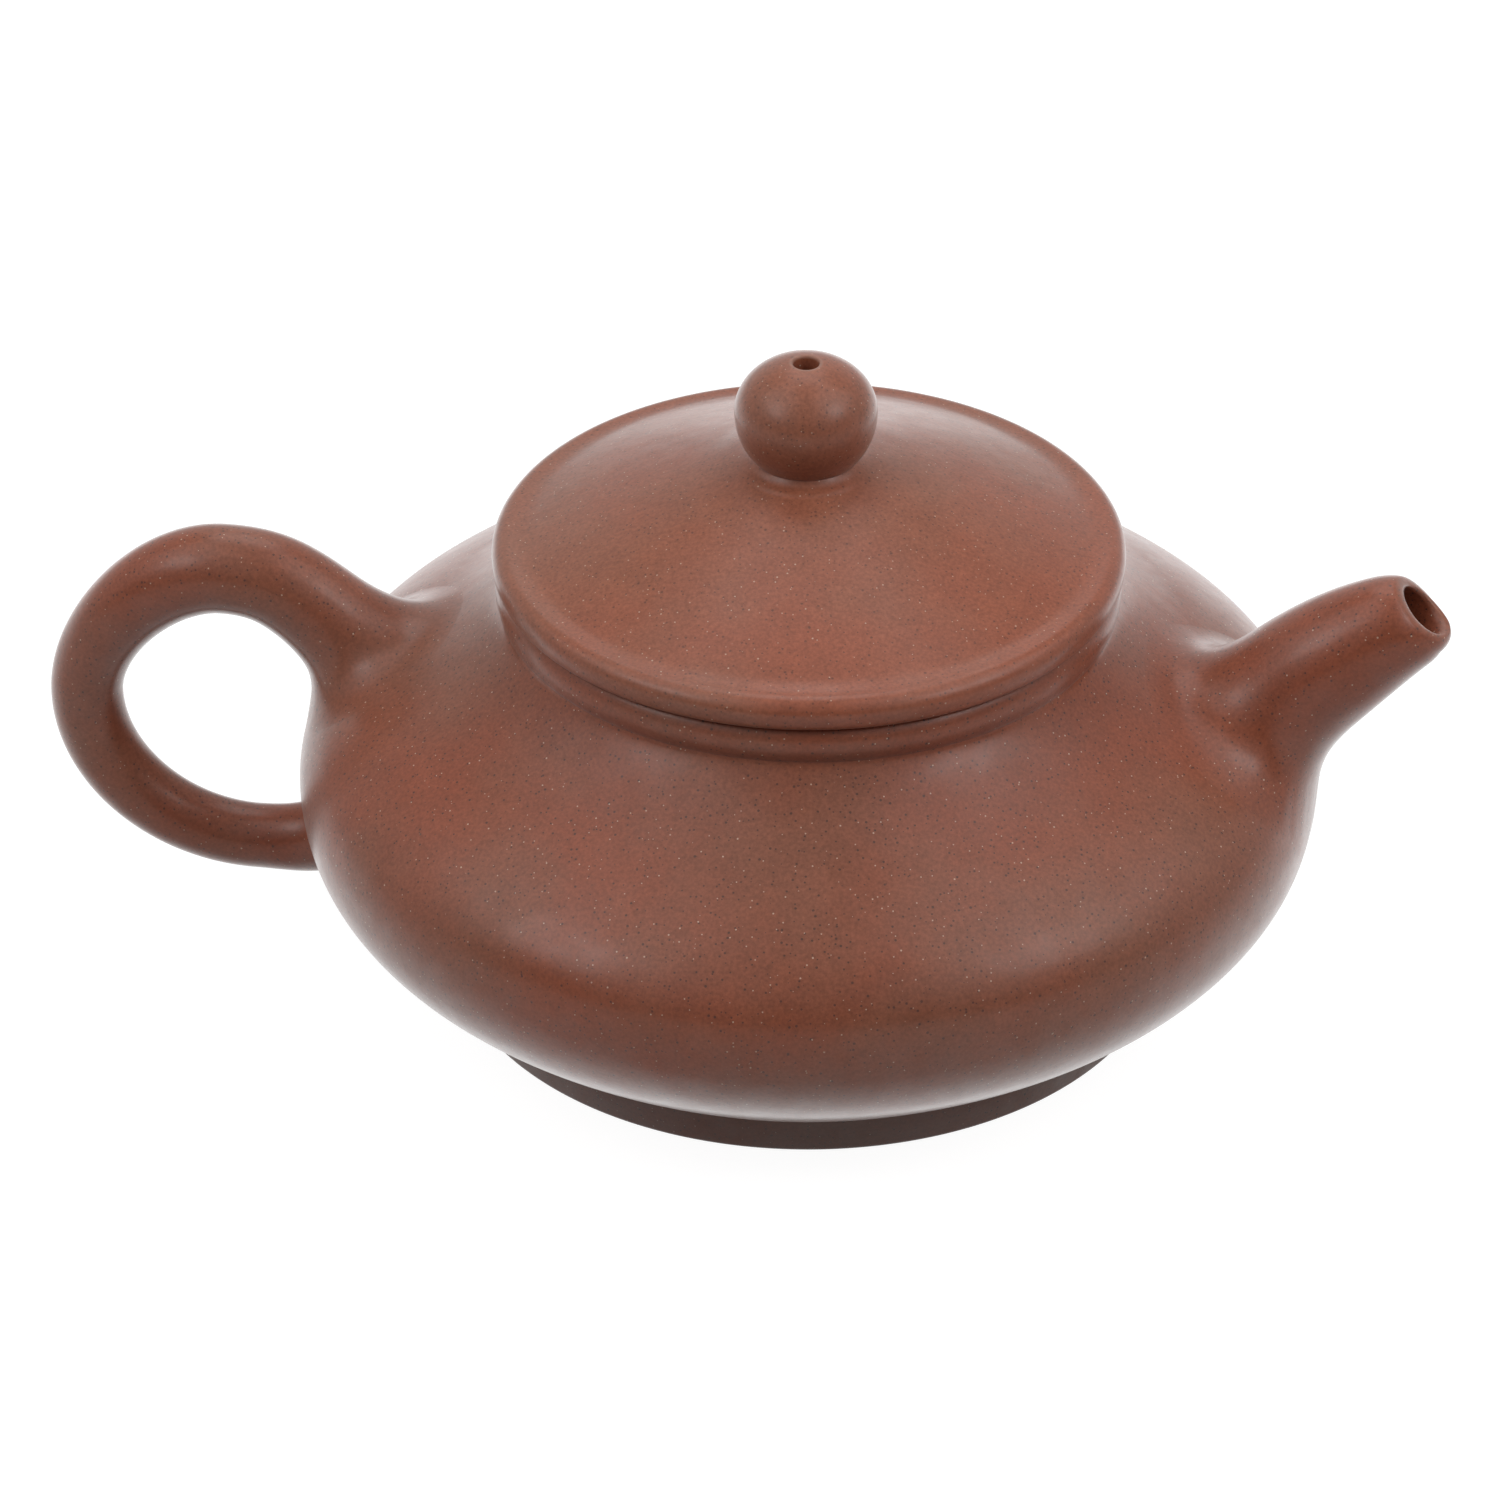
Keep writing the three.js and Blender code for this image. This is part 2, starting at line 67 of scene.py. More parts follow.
# %% [markdown]
# ## Curves in a section
# A pot is mostly a section turned round an axis. Its section is a chain of plain curves: Bezier
# arcs for the swelling walls, and small round corners wherever a finger or a wet sponge would
# have softened an edge. It could be drawn by hand as a long list of points, but a few curves keep
# the whole form in a handful of sizes, and each of them can be changed on its own.

# %% Helpers for sections
SAME_PLACE = 1e-6  # millimetres: points closer than this are one point


def at(r, z):
    """A point of a section: distance from the axis and height, in millimetres."""
    return np.array([r, z], float)


def along(degrees, length):
    """A step of some length in a direction, measured from level and outwards."""
    angle = math.radians(degrees)
    return at(math.cos(angle), math.sin(angle)) * length


def bezier(p0, p1, p2, p3, steps=60):
    """Cubic Bezier: (1-t)^3 p0 + 3 (1-t)^2 t p1 + 3 (1-t) t^2 p2 + t^3 p3, for t from 0 to 1."""
    t = np.linspace(0, 1, steps + 1)[:, None]
    u = 1 - t
    return u**3 * p0 + 3 * u**2 * t * p1 + 3 * u * t**2 * p2 + t**3 * p3


def chain(*runs):
    """Runs of points end to end, with repeated points left out."""
    points = np.concatenate([np.atleast_2d(run) for run in runs])
    step = np.linalg.norm(np.diff(points, axis=0), axis=1)
    return points[np.concatenate([[True], step > SAME_PLACE])]


def evenly(points, spacing):
    """The same line with points at equal distances along it, about one spacing apart."""
    way = np.concatenate([[0], np.cumsum(np.linalg.norm(np.diff(points, axis=0), axis=1))])
    count = max(2, int(round(way[-1] / spacing)) + 1)
    marks = np.linspace(0, way[-1], count)
    return np.stack([np.interp(marks, way, points[:, k]) for k in range(points.shape[1])], 1)


def round_corner(before, corner, after, radius, steps=6):
    """An arc that touches both sides of a corner: it starts and ends radius / tan(half the
    corner's angle) away from it, and its points are centre + radius (cos a, sin a)."""
    towards = [(p - corner) / np.linalg.norm(p - corner) for p in (before, after)]
    half = math.acos(np.clip(towards[0] @ towards[1], -1, 1)) / 2
    centre = corner + (towards[0] + towards[1]) / np.linalg.norm(towards[0] + towards[1]) * (
        radius / math.sin(half)
    )
    reach = radius / math.tan(half)
    ends = [corner + way * reach - centre for way in towards]
    angles = [math.atan2(end[1], end[0]) for end in ends]
    turn = (angles[1] - angles[0] + math.pi) % (2 * math.pi) - math.pi
    a = angles[0] + turn * np.linspace(0, 1, steps + 1)
    return centre + radius * np.stack([np.cos(a), np.sin(a)], 1)


def rounded(corners, radii):
    """A closed section from its corners, each rounded by its own radius."""
    corners = [np.asarray(corner, float) for corner in corners]
    arcs = [
        round_corner(corners[k - 1], corners[k], corners[(k + 1) % len(corners)], radii[k])
        for k in range(len(corners))
    ]
    return chain(*arcs)


def sideways(points, distance):
    """A line moved sideways, to the right of its run, by a distance."""
    run = np.gradient(points, axis=0)
    run /= np.linalg.norm(run, axis=1)[:, None]
    return points + distance * np.stack([run[:, 1], -run[:, 0]], 1)


print(f"a square corner rounded by 1 mm: {len(round_corner(at(0, 2), at(0, 0), at(2, 0), 1))} points")

# %% [markdown]
# ## From grids to meshes
# Every piece here is a grid of points: rows run along the piece and columns run round it. One
# function turns a grid into a mesh, closes it on itself where the piece is a ring, and checks by
# its signed volume that the faces point outwards. Blender's Spin or Screw could turn a section
# too, but a grid can also be bent into a spout or a handle, so one way serves the whole pot.
#
# Nothing thrown or beaten by hand is truly round, so every grid passes through the same slight
# warp. The warp is a function of place alone, and pieces that touch still touch after it.

# %% Helpers for meshes
WARP, WARP_RADIUS = 0.09, 52.5  # the warp in millimetres, and the radius where it is that large
WARP_START, WARP_CLIMB = 0.6, 9  # radians, and millimetres of height for one radian
WELD = 1e-7  # metres: mesh points closer than this become one


def hand_made(points):
    """The slight warp of a hand-built pot: the radius is scaled by 1 + a (sin(2 q + start) +
    sin(3 q + z / climb) / 2), where q is the bearing about the axis and z the height."""
    bearing = np.arctan2(points[..., 1], points[..., 0])
    wave = np.sin(2 * bearing + WARP_START) + 0.5 * np.sin(3 * bearing + points[..., 2] / WARP_CLIMB)
    scale = 1 + WARP / WARP_RADIUS * wave
    warped = points.copy()
    warped[..., :2] *= scale[..., None]
    return warped


def grid_faces(rows, columns, ring_rows):
    """Four corners for each cell of a grid. The last column joins the first, and for a ring so
    does the last row."""
    i = np.arange(rows if ring_rows else rows - 1)[:, None]
    j = np.arange(columns)[None, :]
    i2, j2 = (i + 1) % rows, (j + 1) % columns
    cell = [i * columns + j, i * columns + j2, i2 * columns + j2, i2 * columns + j]
    return np.stack(np.broadcast_arrays(*cell), -1).reshape(-1, 4)


def signed_volume(mesh):
    """Volume inside a closed mesh: the sum of a . (b x c) / 6 over its triangles."""
    mesh.calc_loop_triangles()
    corners = np.empty(len(mesh.loop_triangles) * 3, np.int32)
    mesh.loop_triangles.foreach_get("vertices", corners)
    places = np.empty(len(mesh.vertices) * 3, np.float32)
    mesh.vertices.foreach_get("co", places)
    a, b, c = np.moveaxis(places.reshape(-1, 3).astype(float)[corners.reshape(-1, 3)], 1, 0)
    return float((a * np.cross(b, c)).sum() / 6)


def make_mesh(name, grid, ring_rows=False, marks=None):
    """A mesh from a grid of points in millimetres about the pot's axis. Columns always close
    round the piece. Rows close on themselves for a ring, or end in a pole."""
    rows, columns = grid.shape[:2]
    places = (hand_made(grid).reshape(-1, 3) + [AXIS_X, 0, 0]) * METRES
    faces = grid_faces(rows, columns, ring_rows)
    mesh = bpy.data.meshes.new(name)
    mesh.vertices.add(len(places))
    mesh.vertices.foreach_set("co", places.astype(np.float32).ravel())
    mesh.loops.add(faces.size)
    mesh.loops.foreach_set("vertex_index", faces.astype(np.int32).ravel())
    mesh.polygons.add(len(faces))
    mesh.polygons.foreach_set("loop_start", np.arange(0, faces.size, 4, dtype=np.int32))
    mesh.update(calc_edges=True)
    for title, values in (marks or {}).items():
        attribute = mesh.attributes.new(title, "FLOAT", "POINT")
        attribute.data.foreach_set("value", np.broadcast_to(values, (rows, columns)).ravel())
    shell = bmesh.new()
    shell.from_mesh(mesh)
    bmesh.ops.remove_doubles(shell, verts=shell.verts, dist=WELD)
    shell.to_mesh(mesh)
    shell.free()
    if signed_volume(mesh) < 0:
        mesh.flip_normals()
    mesh.shade_smooth()
    mesh.update()
    return mesh


print(f"the warp moves the belly by up to {1.5 * WARP:.2f} mm")

# %% Helpers for pieces
def link(name, data):
    """A new object in the scene, at the origin, that holds some data."""
    thing = bpy.data.objects.new(name, data)
    bpy.context.scene.collection.objects.link(thing)
    return thing


def place(name, mesh):
    """The mesh as an object at the origin, with its place in its points."""
    piece = link(name, mesh)
    tris = sum(len(face.vertices) - 2 for face in mesh.polygons)
    cubic = signed_volume(mesh) / METRES**3
    print(f"{name}: {tris} triangles, {cubic:.0f} cubic mm")
    return piece


def dress(piece, body, nodes, slot):
    """The piece rides on a body, stands for CAD nodes and takes the finish of a slot."""
    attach(piece, body)
    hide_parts(*nodes)
    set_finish(piece, slot)
    return piece


def finish_piece(name, grid, body, slot, ring_rows=True, marks=None):
    """The mesh of a piece that stands for the CAD node of its own name, placed and dressed."""
    return dress(place(name, make_mesh(name, grid, ring_rows, marks)), body, [name], slot)


def turned(section, sides):
    """A section turned round the axis: (r cos q, r sin q, z) for bearings q all the way round."""
    q = np.arange(sides) * 2 * math.pi / sides
    r, z = section[:, :1], section[:, 1:]
    return np.stack([r * np.cos(q), r * np.sin(q), z + 0 * q], -1)


print(f"a section of two points turned in 8 sides: {turned(np.ones((2, 2)), 8).size // 3} points")

# %% [markdown]
# ## The outline of the pot
# The pot is a squashed ball: the widest line lies low, the underside draws in to a narrow base,
# and the shoulder sweeps up in a shallow hollow to a short neck. Three Bezier curves hold that
# outline, and they share their directions where they meet, so that light runs over them unbroken.
# A pull is the length of a curve's handle: the longer it is, the fuller the clay on that side.

# %% Outline of the body
BASE_RADIUS, BASE_UNDERSIDE = 39.1, 5.0
BASE_TOP = 8.0
BASE_SLOPE, BASE_PULL = 36, 9.8
BELLY_RADIUS, BELLY_HEIGHT = 52.5, 22.6
PULL_BELOW_BELLY, PULL_ABOVE_BELLY = 7.9, 5.4
SHOULDER_RADIUS, SHOULDER_HEIGHT = 40.4, 35.7
SHOULDER_SLOPE = 29.4
PULL_BELOW_SHOULDER, PULL_ABOVE_SHOULDER = 8.9, 3.2
NECK_RADIUS, BODY_TOP = 31.9, 43.0
NECK_LEDGE = 0.5
NECK_SLOPE, NECK_PULL = 62, 2.6
WALL = 3.0
MOUTH_RADIUS = 28.4
OUTLINE_STEP = 0.35

base_point = at(BASE_RADIUS, BASE_UNDERSIDE)
belly_point = at(BELLY_RADIUS, BELLY_HEIGHT)
shoulder_point = at(SHOULDER_RADIUS, SHOULDER_HEIGHT)
body_top_point = at(NECK_RADIUS - NECK_LEDGE, BODY_TOP)
up_shoulder = along(180 - SHOULDER_SLOPE, 1)

underside_curve = bezier(
    base_point,
    base_point + along(BASE_SLOPE, BASE_PULL),
    belly_point - at(0, PULL_BELOW_BELLY),
    belly_point,
)
upper_belly_curve = bezier(
    belly_point,
    belly_point + at(0, PULL_ABOVE_BELLY),
    shoulder_point - up_shoulder * PULL_BELOW_SHOULDER,
    shoulder_point,
)
shoulder_curve = bezier(
    shoulder_point,
    shoulder_point + up_shoulder * PULL_ABOVE_SHOULDER,
    body_top_point - along(180 - NECK_SLOPE, NECK_PULL),
    body_top_point,
)
outline = evenly(chain(underside_curve, upper_belly_curve, shoulder_curve), OUTLINE_STEP)
lining = sideways(outline, -WALL)
print(f"outline: {len(outline)} points, widest {outline[:, 0].max():.1f} mm from the axis")


# %% Distance from the pot's skin
def stand_off(points, line=outline):
    """How far points stand off a turned surface, and the direction straight out of it. In the
    plane of radius and height it is the distance to the nearest stretch of the line, with the
    sign of the side that the point is on."""
    radius = np.hypot(points[..., 0], points[..., 1])
    place_rz = np.stack([radius, points[..., 2]], -1)
    start, run = line[:-1], np.diff(line, axis=0)
    gap = place_rz[..., None, :] - start
    share = np.clip((gap * run).sum(-1) / (run**2).sum(-1), 0, 1)
    gap = gap - share[..., None] * run
    distance = np.linalg.norm(gap, axis=-1)
    pick = distance.argmin(-1)
    nearest = np.take_along_axis(distance, pick[..., None], -1)[..., 0]
    way = run[pick] / np.linalg.norm(run[pick], axis=-1)[..., None]
    out_rz = np.stack([way[..., 1], -way[..., 0]], -1)
    gap = np.take_along_axis(gap, pick[..., None, None], -2)[..., 0, :]
    side = np.where((gap * out_rz).sum(-1) >= 0, 1.0, -1.0)
    cosine, sine = points[..., 0] / radius, points[..., 1] / radius
    out = np.stack([out_rz[..., 0] * cosine, out_rz[..., 0] * sine, out_rz[..., 1]], -1)
    return side * nearest, out


def above_pot(points):
    """Height of points above the pot's skin, below nought inside it."""
    return stand_off(points)[0]


def outline_radius(height):
    """Radius of the body at a height."""
    return float(np.interp(height, outline[:, 1], outline[:, 0]))


probe = np.array([[BELLY_RADIUS + 2, 0, BELLY_HEIGHT]])
print(f"a point 2 mm off the belly stands off by {above_pot(probe)[0]:.2f} mm")

# %% [markdown]
# ## The wall
# A thrown pot is hollow, and its wall is about as thick everywhere. Here it is one closed
# section: up the outside, over into the neck, down the inside, and in under the floor. A Solidify
# modifier could thicken a single skin, but a closed section also gives the base its own edge. The
# spout's passage is cut through the wall further down, once the passage exists.

# %% The wall's section
ROUND_SIDES = 288
FLOOR_RADIUS = 36.5  # where the wall stops and the base disc begins
TOE_RADIUS = 0.35
WALL_RISE = 0.5  # the wall runs on up inside the neck ring, where nobody sees it
MOUTH_SHY = 0.1  # it ends this far outside the neck ring's own mouth
FLOOR_BEND, FLOOR_SWEEP = 1.2, 2.6  # how the inside rounds into the floor

inner = lining[(lining[:, 1] > BASE_TOP) & (lining[:, 0] > MOUTH_RADIUS + 0.05)]
wall_toe = round_corner(at(FLOOR_RADIUS, BASE_UNDERSIDE), base_point, outline[4], TOE_RADIUS)
floor_curve = bezier(
    inner[3],
    inner[3] + (inner[0] - inner[3]) * 1.5,
    at(inner[0, 0] - FLOOR_BEND, BASE_TOP),
    at(inner[0, 0] - FLOOR_SWEEP, BASE_TOP),
    10,
)
wall_section = chain(
    at(FLOOR_RADIUS, BASE_UNDERSIDE),
    at(FLOOR_RADIUS + FLOOR_BEND, BASE_UNDERSIDE),
    wall_toe,
    outline[4:],
    at(NECK_RADIUS - NECK_LEDGE, BODY_TOP + WALL_RISE),
    at(MOUTH_RADIUS + MOUTH_SHY, BODY_TOP + WALL_RISE),
    at(MOUTH_RADIUS + MOUTH_SHY, inner[-1, 1] + 0.3),
    inner[:3:-1],
    floor_curve,
    at(FLOOR_RADIUS, BASE_TOP),
)
wall_mesh = make_mesh("pot_wall", turned(wall_section, ROUND_SIDES), ring_rows=True)
print(f"wall: {len(wall_section)} points in its section")

# %% [markdown]
# ## Tubes that grow out of the pot
# Spout and handle are both a tube along a curved line, and both end on the pot's skin. A potter
# scores the joint, sets the piece on slip and then works clay over the seam until none is left.
# A Boolean union would leave a hard seam there. So each tube here swells near the pot and then
# runs out over the skin in a fillet that touches it: a Bezier curve that leaves along the tube
# and lands along the pot.

# %% Helpers for tubes
LINE_STEP = 0.15
SWELL_POWER = 2.5
SEARCH_STEPS = 260


def in_space(points, side=1):
    """Points of the plane of radius and height, set up in the plane through spout and handle: on
    the spout's side of the axis for side 1 and on the handle's for side -1."""
    r, z = points[..., 0], points[..., 1]
    return np.stack([side * r, 0 * r, z], -1)


class Line:
    """A flat curve in the plane of radius and height, read by distance along it."""

    def __init__(self, *runs):
        self.points = evenly(chain(*runs), LINE_STEP)
        step = np.linalg.norm(np.diff(self.points, axis=0), axis=1)
        self.way = np.concatenate([[0], np.cumsum(step)])
        self.run = np.gradient(self.points, self.way, axis=0)
        self.length = self.way[-1]

    def spot(self, s):
        """Place and direction at distances along the curve."""
        place_at = [np.interp(s, self.way, self.points[:, k]) for k in (0, 1)]
        run_at = [np.interp(s, self.way, self.run[:, k]) for k in (0, 1)]
        return np.stack(place_at, -1), np.stack(run_at, -1)

    def centre(self, s, side=1):
        """Place in space at distances along the curve."""
        return in_space(self.spot(s)[0], side)

    def nearest(self, point):
        """Distance along the curve of the place nearest to a point."""
        return self.way[np.linalg.norm(self.points - point, axis=1).argmin()]


def bearings(sides):
    """Equal steps all the way round, in radians."""
    return np.arange(sides) * 2 * math.pi / sides


def underneath(q):
    """0 on top of a tube, 1 under it, and smooth between: (1 - cos q) / 2."""
    return (1 - np.cos(q)) / 2


def tube_point(line, s, q, radius, spread, reach, side=1):
    """Skin of a tube at distance s along its line and bearing q round it: centre + (radius +
    spread (1 - height above the pot / reach) ^ power) times the bearing's direction."""
    _, run = line.spot(s)
    direction = np.stack(
        [-run[..., 1] * np.cos(q) * side, np.sin(q), run[..., 0] * np.cos(q)], -1
    )
    centre = line.centre(s, side)
    plain = radius(s)
    height = above_pot(centre + direction * (plain + spread)[..., None])
    swell = spread * np.clip(1 - height / reach, 0, 1) ** SWELL_POWER
    return centre + direction * (plain + swell)[..., None]


def first_above(values, s, level):
    """For each column, the distance s at which a value first rises past a level for good."""
    below = values < level
    last = len(s) - 1 - np.argmax(below[::-1], axis=0)
    last = np.minimum(last, len(s) - 2)
    j = np.arange(values.shape[1])
    low, high = values[last, j], values[last + 1, j]
    share = np.clip((level - low) / (high - low), 0, 1)
    return s[last] + share * (s[last + 1] - s[last])


def column_reach(skin, measure, level, stretch, q):
    """For each bearing, the distance along a stretch of the line at which a measure of the skin
    passes a level, read off a fine sampling of the skin."""
    s = np.linspace(*stretch, SEARCH_STEPS)
    grid_s = np.broadcast_to(s[:, None], (len(s), len(q)))
    values = measure(skin(grid_s, np.broadcast_to(q, grid_s.shape)))
    return first_above(values, s, level)


print(f"a tube swells most at the pot and a share of {0.5 ** SWELL_POWER:.2f} as much half way out")

# %% The fillet between a tube and the pot
HEM = 0.6  # how far the fillet runs on past its landing, just under the pot's skin
BURY = 0.03  # how deep the landing lies under the skin
PULL_ALONG_POT, PULL_ALONG_TUBE = 0.42, 0.38  # as shares of the fillet's span
LANDING_PASSES = 4


def fillet(skin, line, q, s_top, s_foot, landing, rows, side=1):
    """Rows of a fillet from the pot's skin up to a tube. Each column is a Bezier curve whose
    ends are the landing, a set distance out from where the tube meets the pot, and the tube's
    own skin. Its handles run along the pot and along the tube. One more row, the hem, runs on
    under the pot's skin, so that light runs over the landing unbroken."""
    nudge = 0.05 * np.sign(s_top - s_foot)
    top = skin(s_top, q)
    along_tube = top - skin(s_top + nudge, q)
    along_tube /= np.linalg.norm(along_tube, axis=-1)[:, None]
    foot = skin(s_foot, q)
    outwards = foot - line.centre(s_foot, side)
    _, out = stand_off(foot)
    away = outwards - (outwards * out).sum(-1)[:, None] * out
    away /= np.linalg.norm(away, axis=-1)[:, None]
    land = foot + away * np.broadcast_to(landing, len(foot))[:, None]
    for _ in range(LANDING_PASSES):
        height, out = stand_off(land)
        land = land - (height + BURY)[:, None] * out
    back = foot - land
    back -= (back * out).sum(-1)[:, None] * out
    span = np.linalg.norm(top - land, axis=-1)[:, None]
    back /= np.linalg.norm(back, axis=-1)[:, None]
    p1 = land + back * span * PULL_ALONG_POT
    p2 = top + along_tube * span * PULL_ALONG_TUBE
    t = np.linspace(0, 1, rows, endpoint=False)[:, None, None]
    u = 1 - t
    hem = land - back * HEM
    rise = u**3 * land + 3 * u**2 * t * p1 + 3 * u * t**2 * p2 + t**3 * top
    return np.concatenate([hem[None], rise])


print(f"a fillet lies {BURY:.2f} mm under the skin where it lands")

# %% [markdown]
# ## The spout
# A short spout that leans out of the shoulder, bends a little flatter and ends in a slanted cut.
# Outside it stays full and then rounds over towards the cut, so the lip is thin and crisp. The
# passage inside widens towards the pot. The grid runs up the outside, over the lip and back down
# the passage, and closes inside the wall, so the spout is one closed skin with a true hole. A
# solid spout with a dark disc at its tip would look the same from afar, and wouldn't pour.

# %% The spout's line and skin
NECK_TOP = 46.8
SPOUT_ROOT_HEIGHT = 32.4
SPOUT_LEAN, SPOUT_TIP_LEAN = 46, 24
SPOUT_PULL = 7
SPOUT_BURIED, SPOUT_BEYOND = 9, 6  # how far the line runs on inside the pot and past the tip
SPOUT_TIP = at(BELLY_RADIUS + 10.5, NECK_TOP - 0.5)
MOUTH_LEAN = 43
ROOT_RADIUS, TIP_RADIUS, TAPER_POWER = 7.1, 4.45, 2.3
SPOUT_SWELL, SPOUT_SWELL_REACH = 2.6, 9.0
NOSE_LENGTH = 2.8
TOP_DROP, UNDER_DROP = 0.5, 1.95
SPOUT_SIDES = 112

spout_root = at(outline_radius(SPOUT_ROOT_HEIGHT), SPOUT_ROOT_HEIGHT)
spout_line = Line(
    [spout_root - along(SPOUT_LEAN, SPOUT_BURIED), spout_root],
    bezier(
        spout_root,
        spout_root + along(SPOUT_LEAN, SPOUT_PULL),
        SPOUT_TIP - along(SPOUT_TIP_LEAN, SPOUT_PULL),
        SPOUT_TIP,
    ),
    [SPOUT_TIP, SPOUT_TIP + along(SPOUT_TIP_LEAN, SPOUT_BEYOND)],
)
spout_start = spout_line.nearest(spout_root)
spout_end = spout_line.nearest(SPOUT_TIP)
mouth_centre = in_space(SPOUT_TIP)
mouth_facing = in_space(along(MOUTH_LEAN, 1))


def spout_way(s):
    """Share of the way from the spout's root to its tip."""
    return np.clip((s - spout_start) / (spout_end - spout_start), 0, 1)


def spout_radius(s):
    """Full at the root, drawn in towards the tip: root + (tip - root) way ^ power."""
    return ROOT_RADIUS + (TIP_RADIUS - ROOT_RADIUS) * spout_way(s) ** TAPER_POWER


def spout_skin(s, q):
    """The spout's outside before its nose is rounded."""
    return tube_point(spout_line, s, q, spout_radius, SPOUT_SWELL, SPOUT_SWELL_REACH)


def behind_mouth(points):
    """Distance of points behind the plane of the mouth's slanted cut."""
    return (mouth_centre - points) @ mouth_facing


def past_mouth(points):
    """Distance of points past that plane."""
    return -behind_mouth(points)


def rounded_nose(points, s, q):
    """Draws the last stretch in like a quarter circle: drop (1 - sqrt(1 - (1 - d / length)^2)),
    where d is the distance behind the mouth. The drop is larger under the spout than on top."""
    centre = spout_line.centre(s)
    into = np.clip(1 - behind_mouth(points) / NOSE_LENGTH, 0, 1)
    arm = points - centre
    size = np.linalg.norm(arm, axis=-1)
    most = TOP_DROP + (UNDER_DROP - TOP_DROP) * underneath(q)
    drop = most * (1 - np.sqrt(1 - into**2))
    return centre + arm * ((size - drop) / size)[..., None]


print(f"spout: {spout_end - spout_start:.1f} mm long along its line")

# %% The spout's fillet and outside
SPOUT_STAND, SPOUT_STAND_UNDER = 3.9, 1.0  # height at which the fillet leaves the tube
SPOUT_LANDING, SPOUT_LANDING_UNDER = 4.3, 3.2  # how far out the fillet lands
SPOUT_FILLET_ROWS, SPOUT_ROWS = 26, 74
CROWDING = 0.35  # rows crowd towards the lip, where the nose rounds over

q = bearings(SPOUT_SIDES)
under = underneath(q)
s_foot = column_reach(spout_skin, above_pot, 0.0, (2.0, spout_end - 4), q)
stand = SPOUT_STAND + SPOUT_STAND_UNDER * under
s_top = column_reach(spout_skin, above_pot, stand, (2.0, spout_end - 2), q)
s_lip = column_reach(spout_skin, past_mouth, 0.0, (spout_end - 9, spout_line.length), q)
landing = SPOUT_LANDING + SPOUT_LANDING_UNDER * under
spout_fillet = fillet(spout_skin, spout_line, q, s_top, s_foot, landing, SPOUT_FILLET_ROWS)
u = np.linspace(0, 1, SPOUT_ROWS)[:, None]
u = u + CROWDING * u * (1 - u)
s_grid = s_top + (s_lip - s_top) * u
q_grid = np.broadcast_to(q, s_grid.shape)
spout_outside = rounded_nose(spout_skin(s_grid, q_grid), s_grid, q_grid)
print(f"spout: the tube meets the pot {s_foot.min():.1f} to {s_foot.max():.1f} mm along its line")

# %% The passage, the lip and the spout's mesh
BORE_TIP, BORE_ROOT = 2.7, 5.1
BORE_LIFT = 0.5  # the passage ends nearer to the upper lip
BORE_SWELL, BORE_SWELL_REACH = 1.4, 10.5
BORE_DEPTH = 2.85  # the passage's skin ends this deep in the wall
BORE_STRETCH = (0.5, spout_end - 6)
PASSAGE_ROWS = 48
LIP_STEP, LIP_SHARE = 0.12, 0.3
LIP_PALE_EDGE = [[0.1], [0.3], [0.45], [0.3]]  # paler clay on the four rows at the lip


def bore_radius(s):
    """From the passage's radius at the root to that at the tip, in proportion to the way."""
    return BORE_ROOT + (BORE_TIP - BORE_ROOT) * spout_way(s)


def bore_skin(s, q):
    """The passage's wall, a little wider where it opens into the pot."""
    _, run = spout_line.spot(s)
    upwards = np.stack([-run[..., 1], 0 * s, run[..., 0]], -1)
    rise = (BORE_LIFT * spout_way(s) ** 2)[..., None] * upwards
    return tube_point(spout_line, s, q, bore_radius, BORE_SWELL, BORE_SWELL_REACH) + rise


s_bore_lip = column_reach(bore_skin, past_mouth, 0.0, (spout_end - 9, spout_line.length), q)
s_bore_end = column_reach(bore_skin, above_pot, -BORE_DEPTH, BORE_STRETCH, q)
u = np.linspace(0, 1, PASSAGE_ROWS)[:, None]
s_grid = s_bore_lip - LIP_STEP + (s_bore_end - s_bore_lip) * u
passage = bore_skin(s_grid, np.broadcast_to(q, s_grid.shape))
lip_inner = bore_skin(s_bore_lip, q)
lip_outer = spout_outside[-1]
lip_side = lip_inner + (lip_outer - lip_inner) * LIP_SHARE
spout_grid = np.concatenate([spout_fillet, spout_outside, lip_side[None], passage])
arris = np.zeros((len(spout_grid), 1))
lip_row = len(spout_fillet) + len(spout_outside)
arris[lip_row - 2 : lip_row + 2] = LIP_PALE_EDGE
spout = finish_piece("spout", spout_grid, "pot", "body_clay", marks={"arris": arris})

# %% [markdown]
# ## Cutting the passage through the wall
# A potter pierces the wall before the spout goes on. The wall was turned whole here, so the
# passage is cut through it with a Boolean modifier. The cutter is the passage's own shape, a
# touch wider, so that the spout's skin lines the hole. The modifier is applied at once: what
# stays is a plain mesh, which is all that a finished piece should be.

# %% Cut the wall
CUT_SLACK = 0.08
CUT_START, CUT_PAST = 1.2, 1.5  # where the cutter starts on the line, and its height past the pot
CUT_ROWS = 24


def carve(mesh, cutter, name):
    """The mesh with the cutter's volume taken away, as a new object. The cutter is deleted."""
    block = link(name, mesh)
    modifier = block.modifiers.new("cut", "BOOLEAN")
    modifier.operation = "DIFFERENCE"
    modifier.solver = "EXACT"
    modifier.object = cutter
    depsgraph = bpy.context.evaluated_depsgraph_get()
    cut = bpy.data.meshes.new_from_object(block.evaluated_get(depsgraph))
    bpy.data.objects.remove(block)
    bpy.data.objects.remove(cutter)
    cut.name = name
    return place(name, cut)


def shrunk(row):
    """A row shrunk to one point in its middle, which closes the end of a grid."""
    return np.broadcast_to(row.mean(0), row[None].shape)


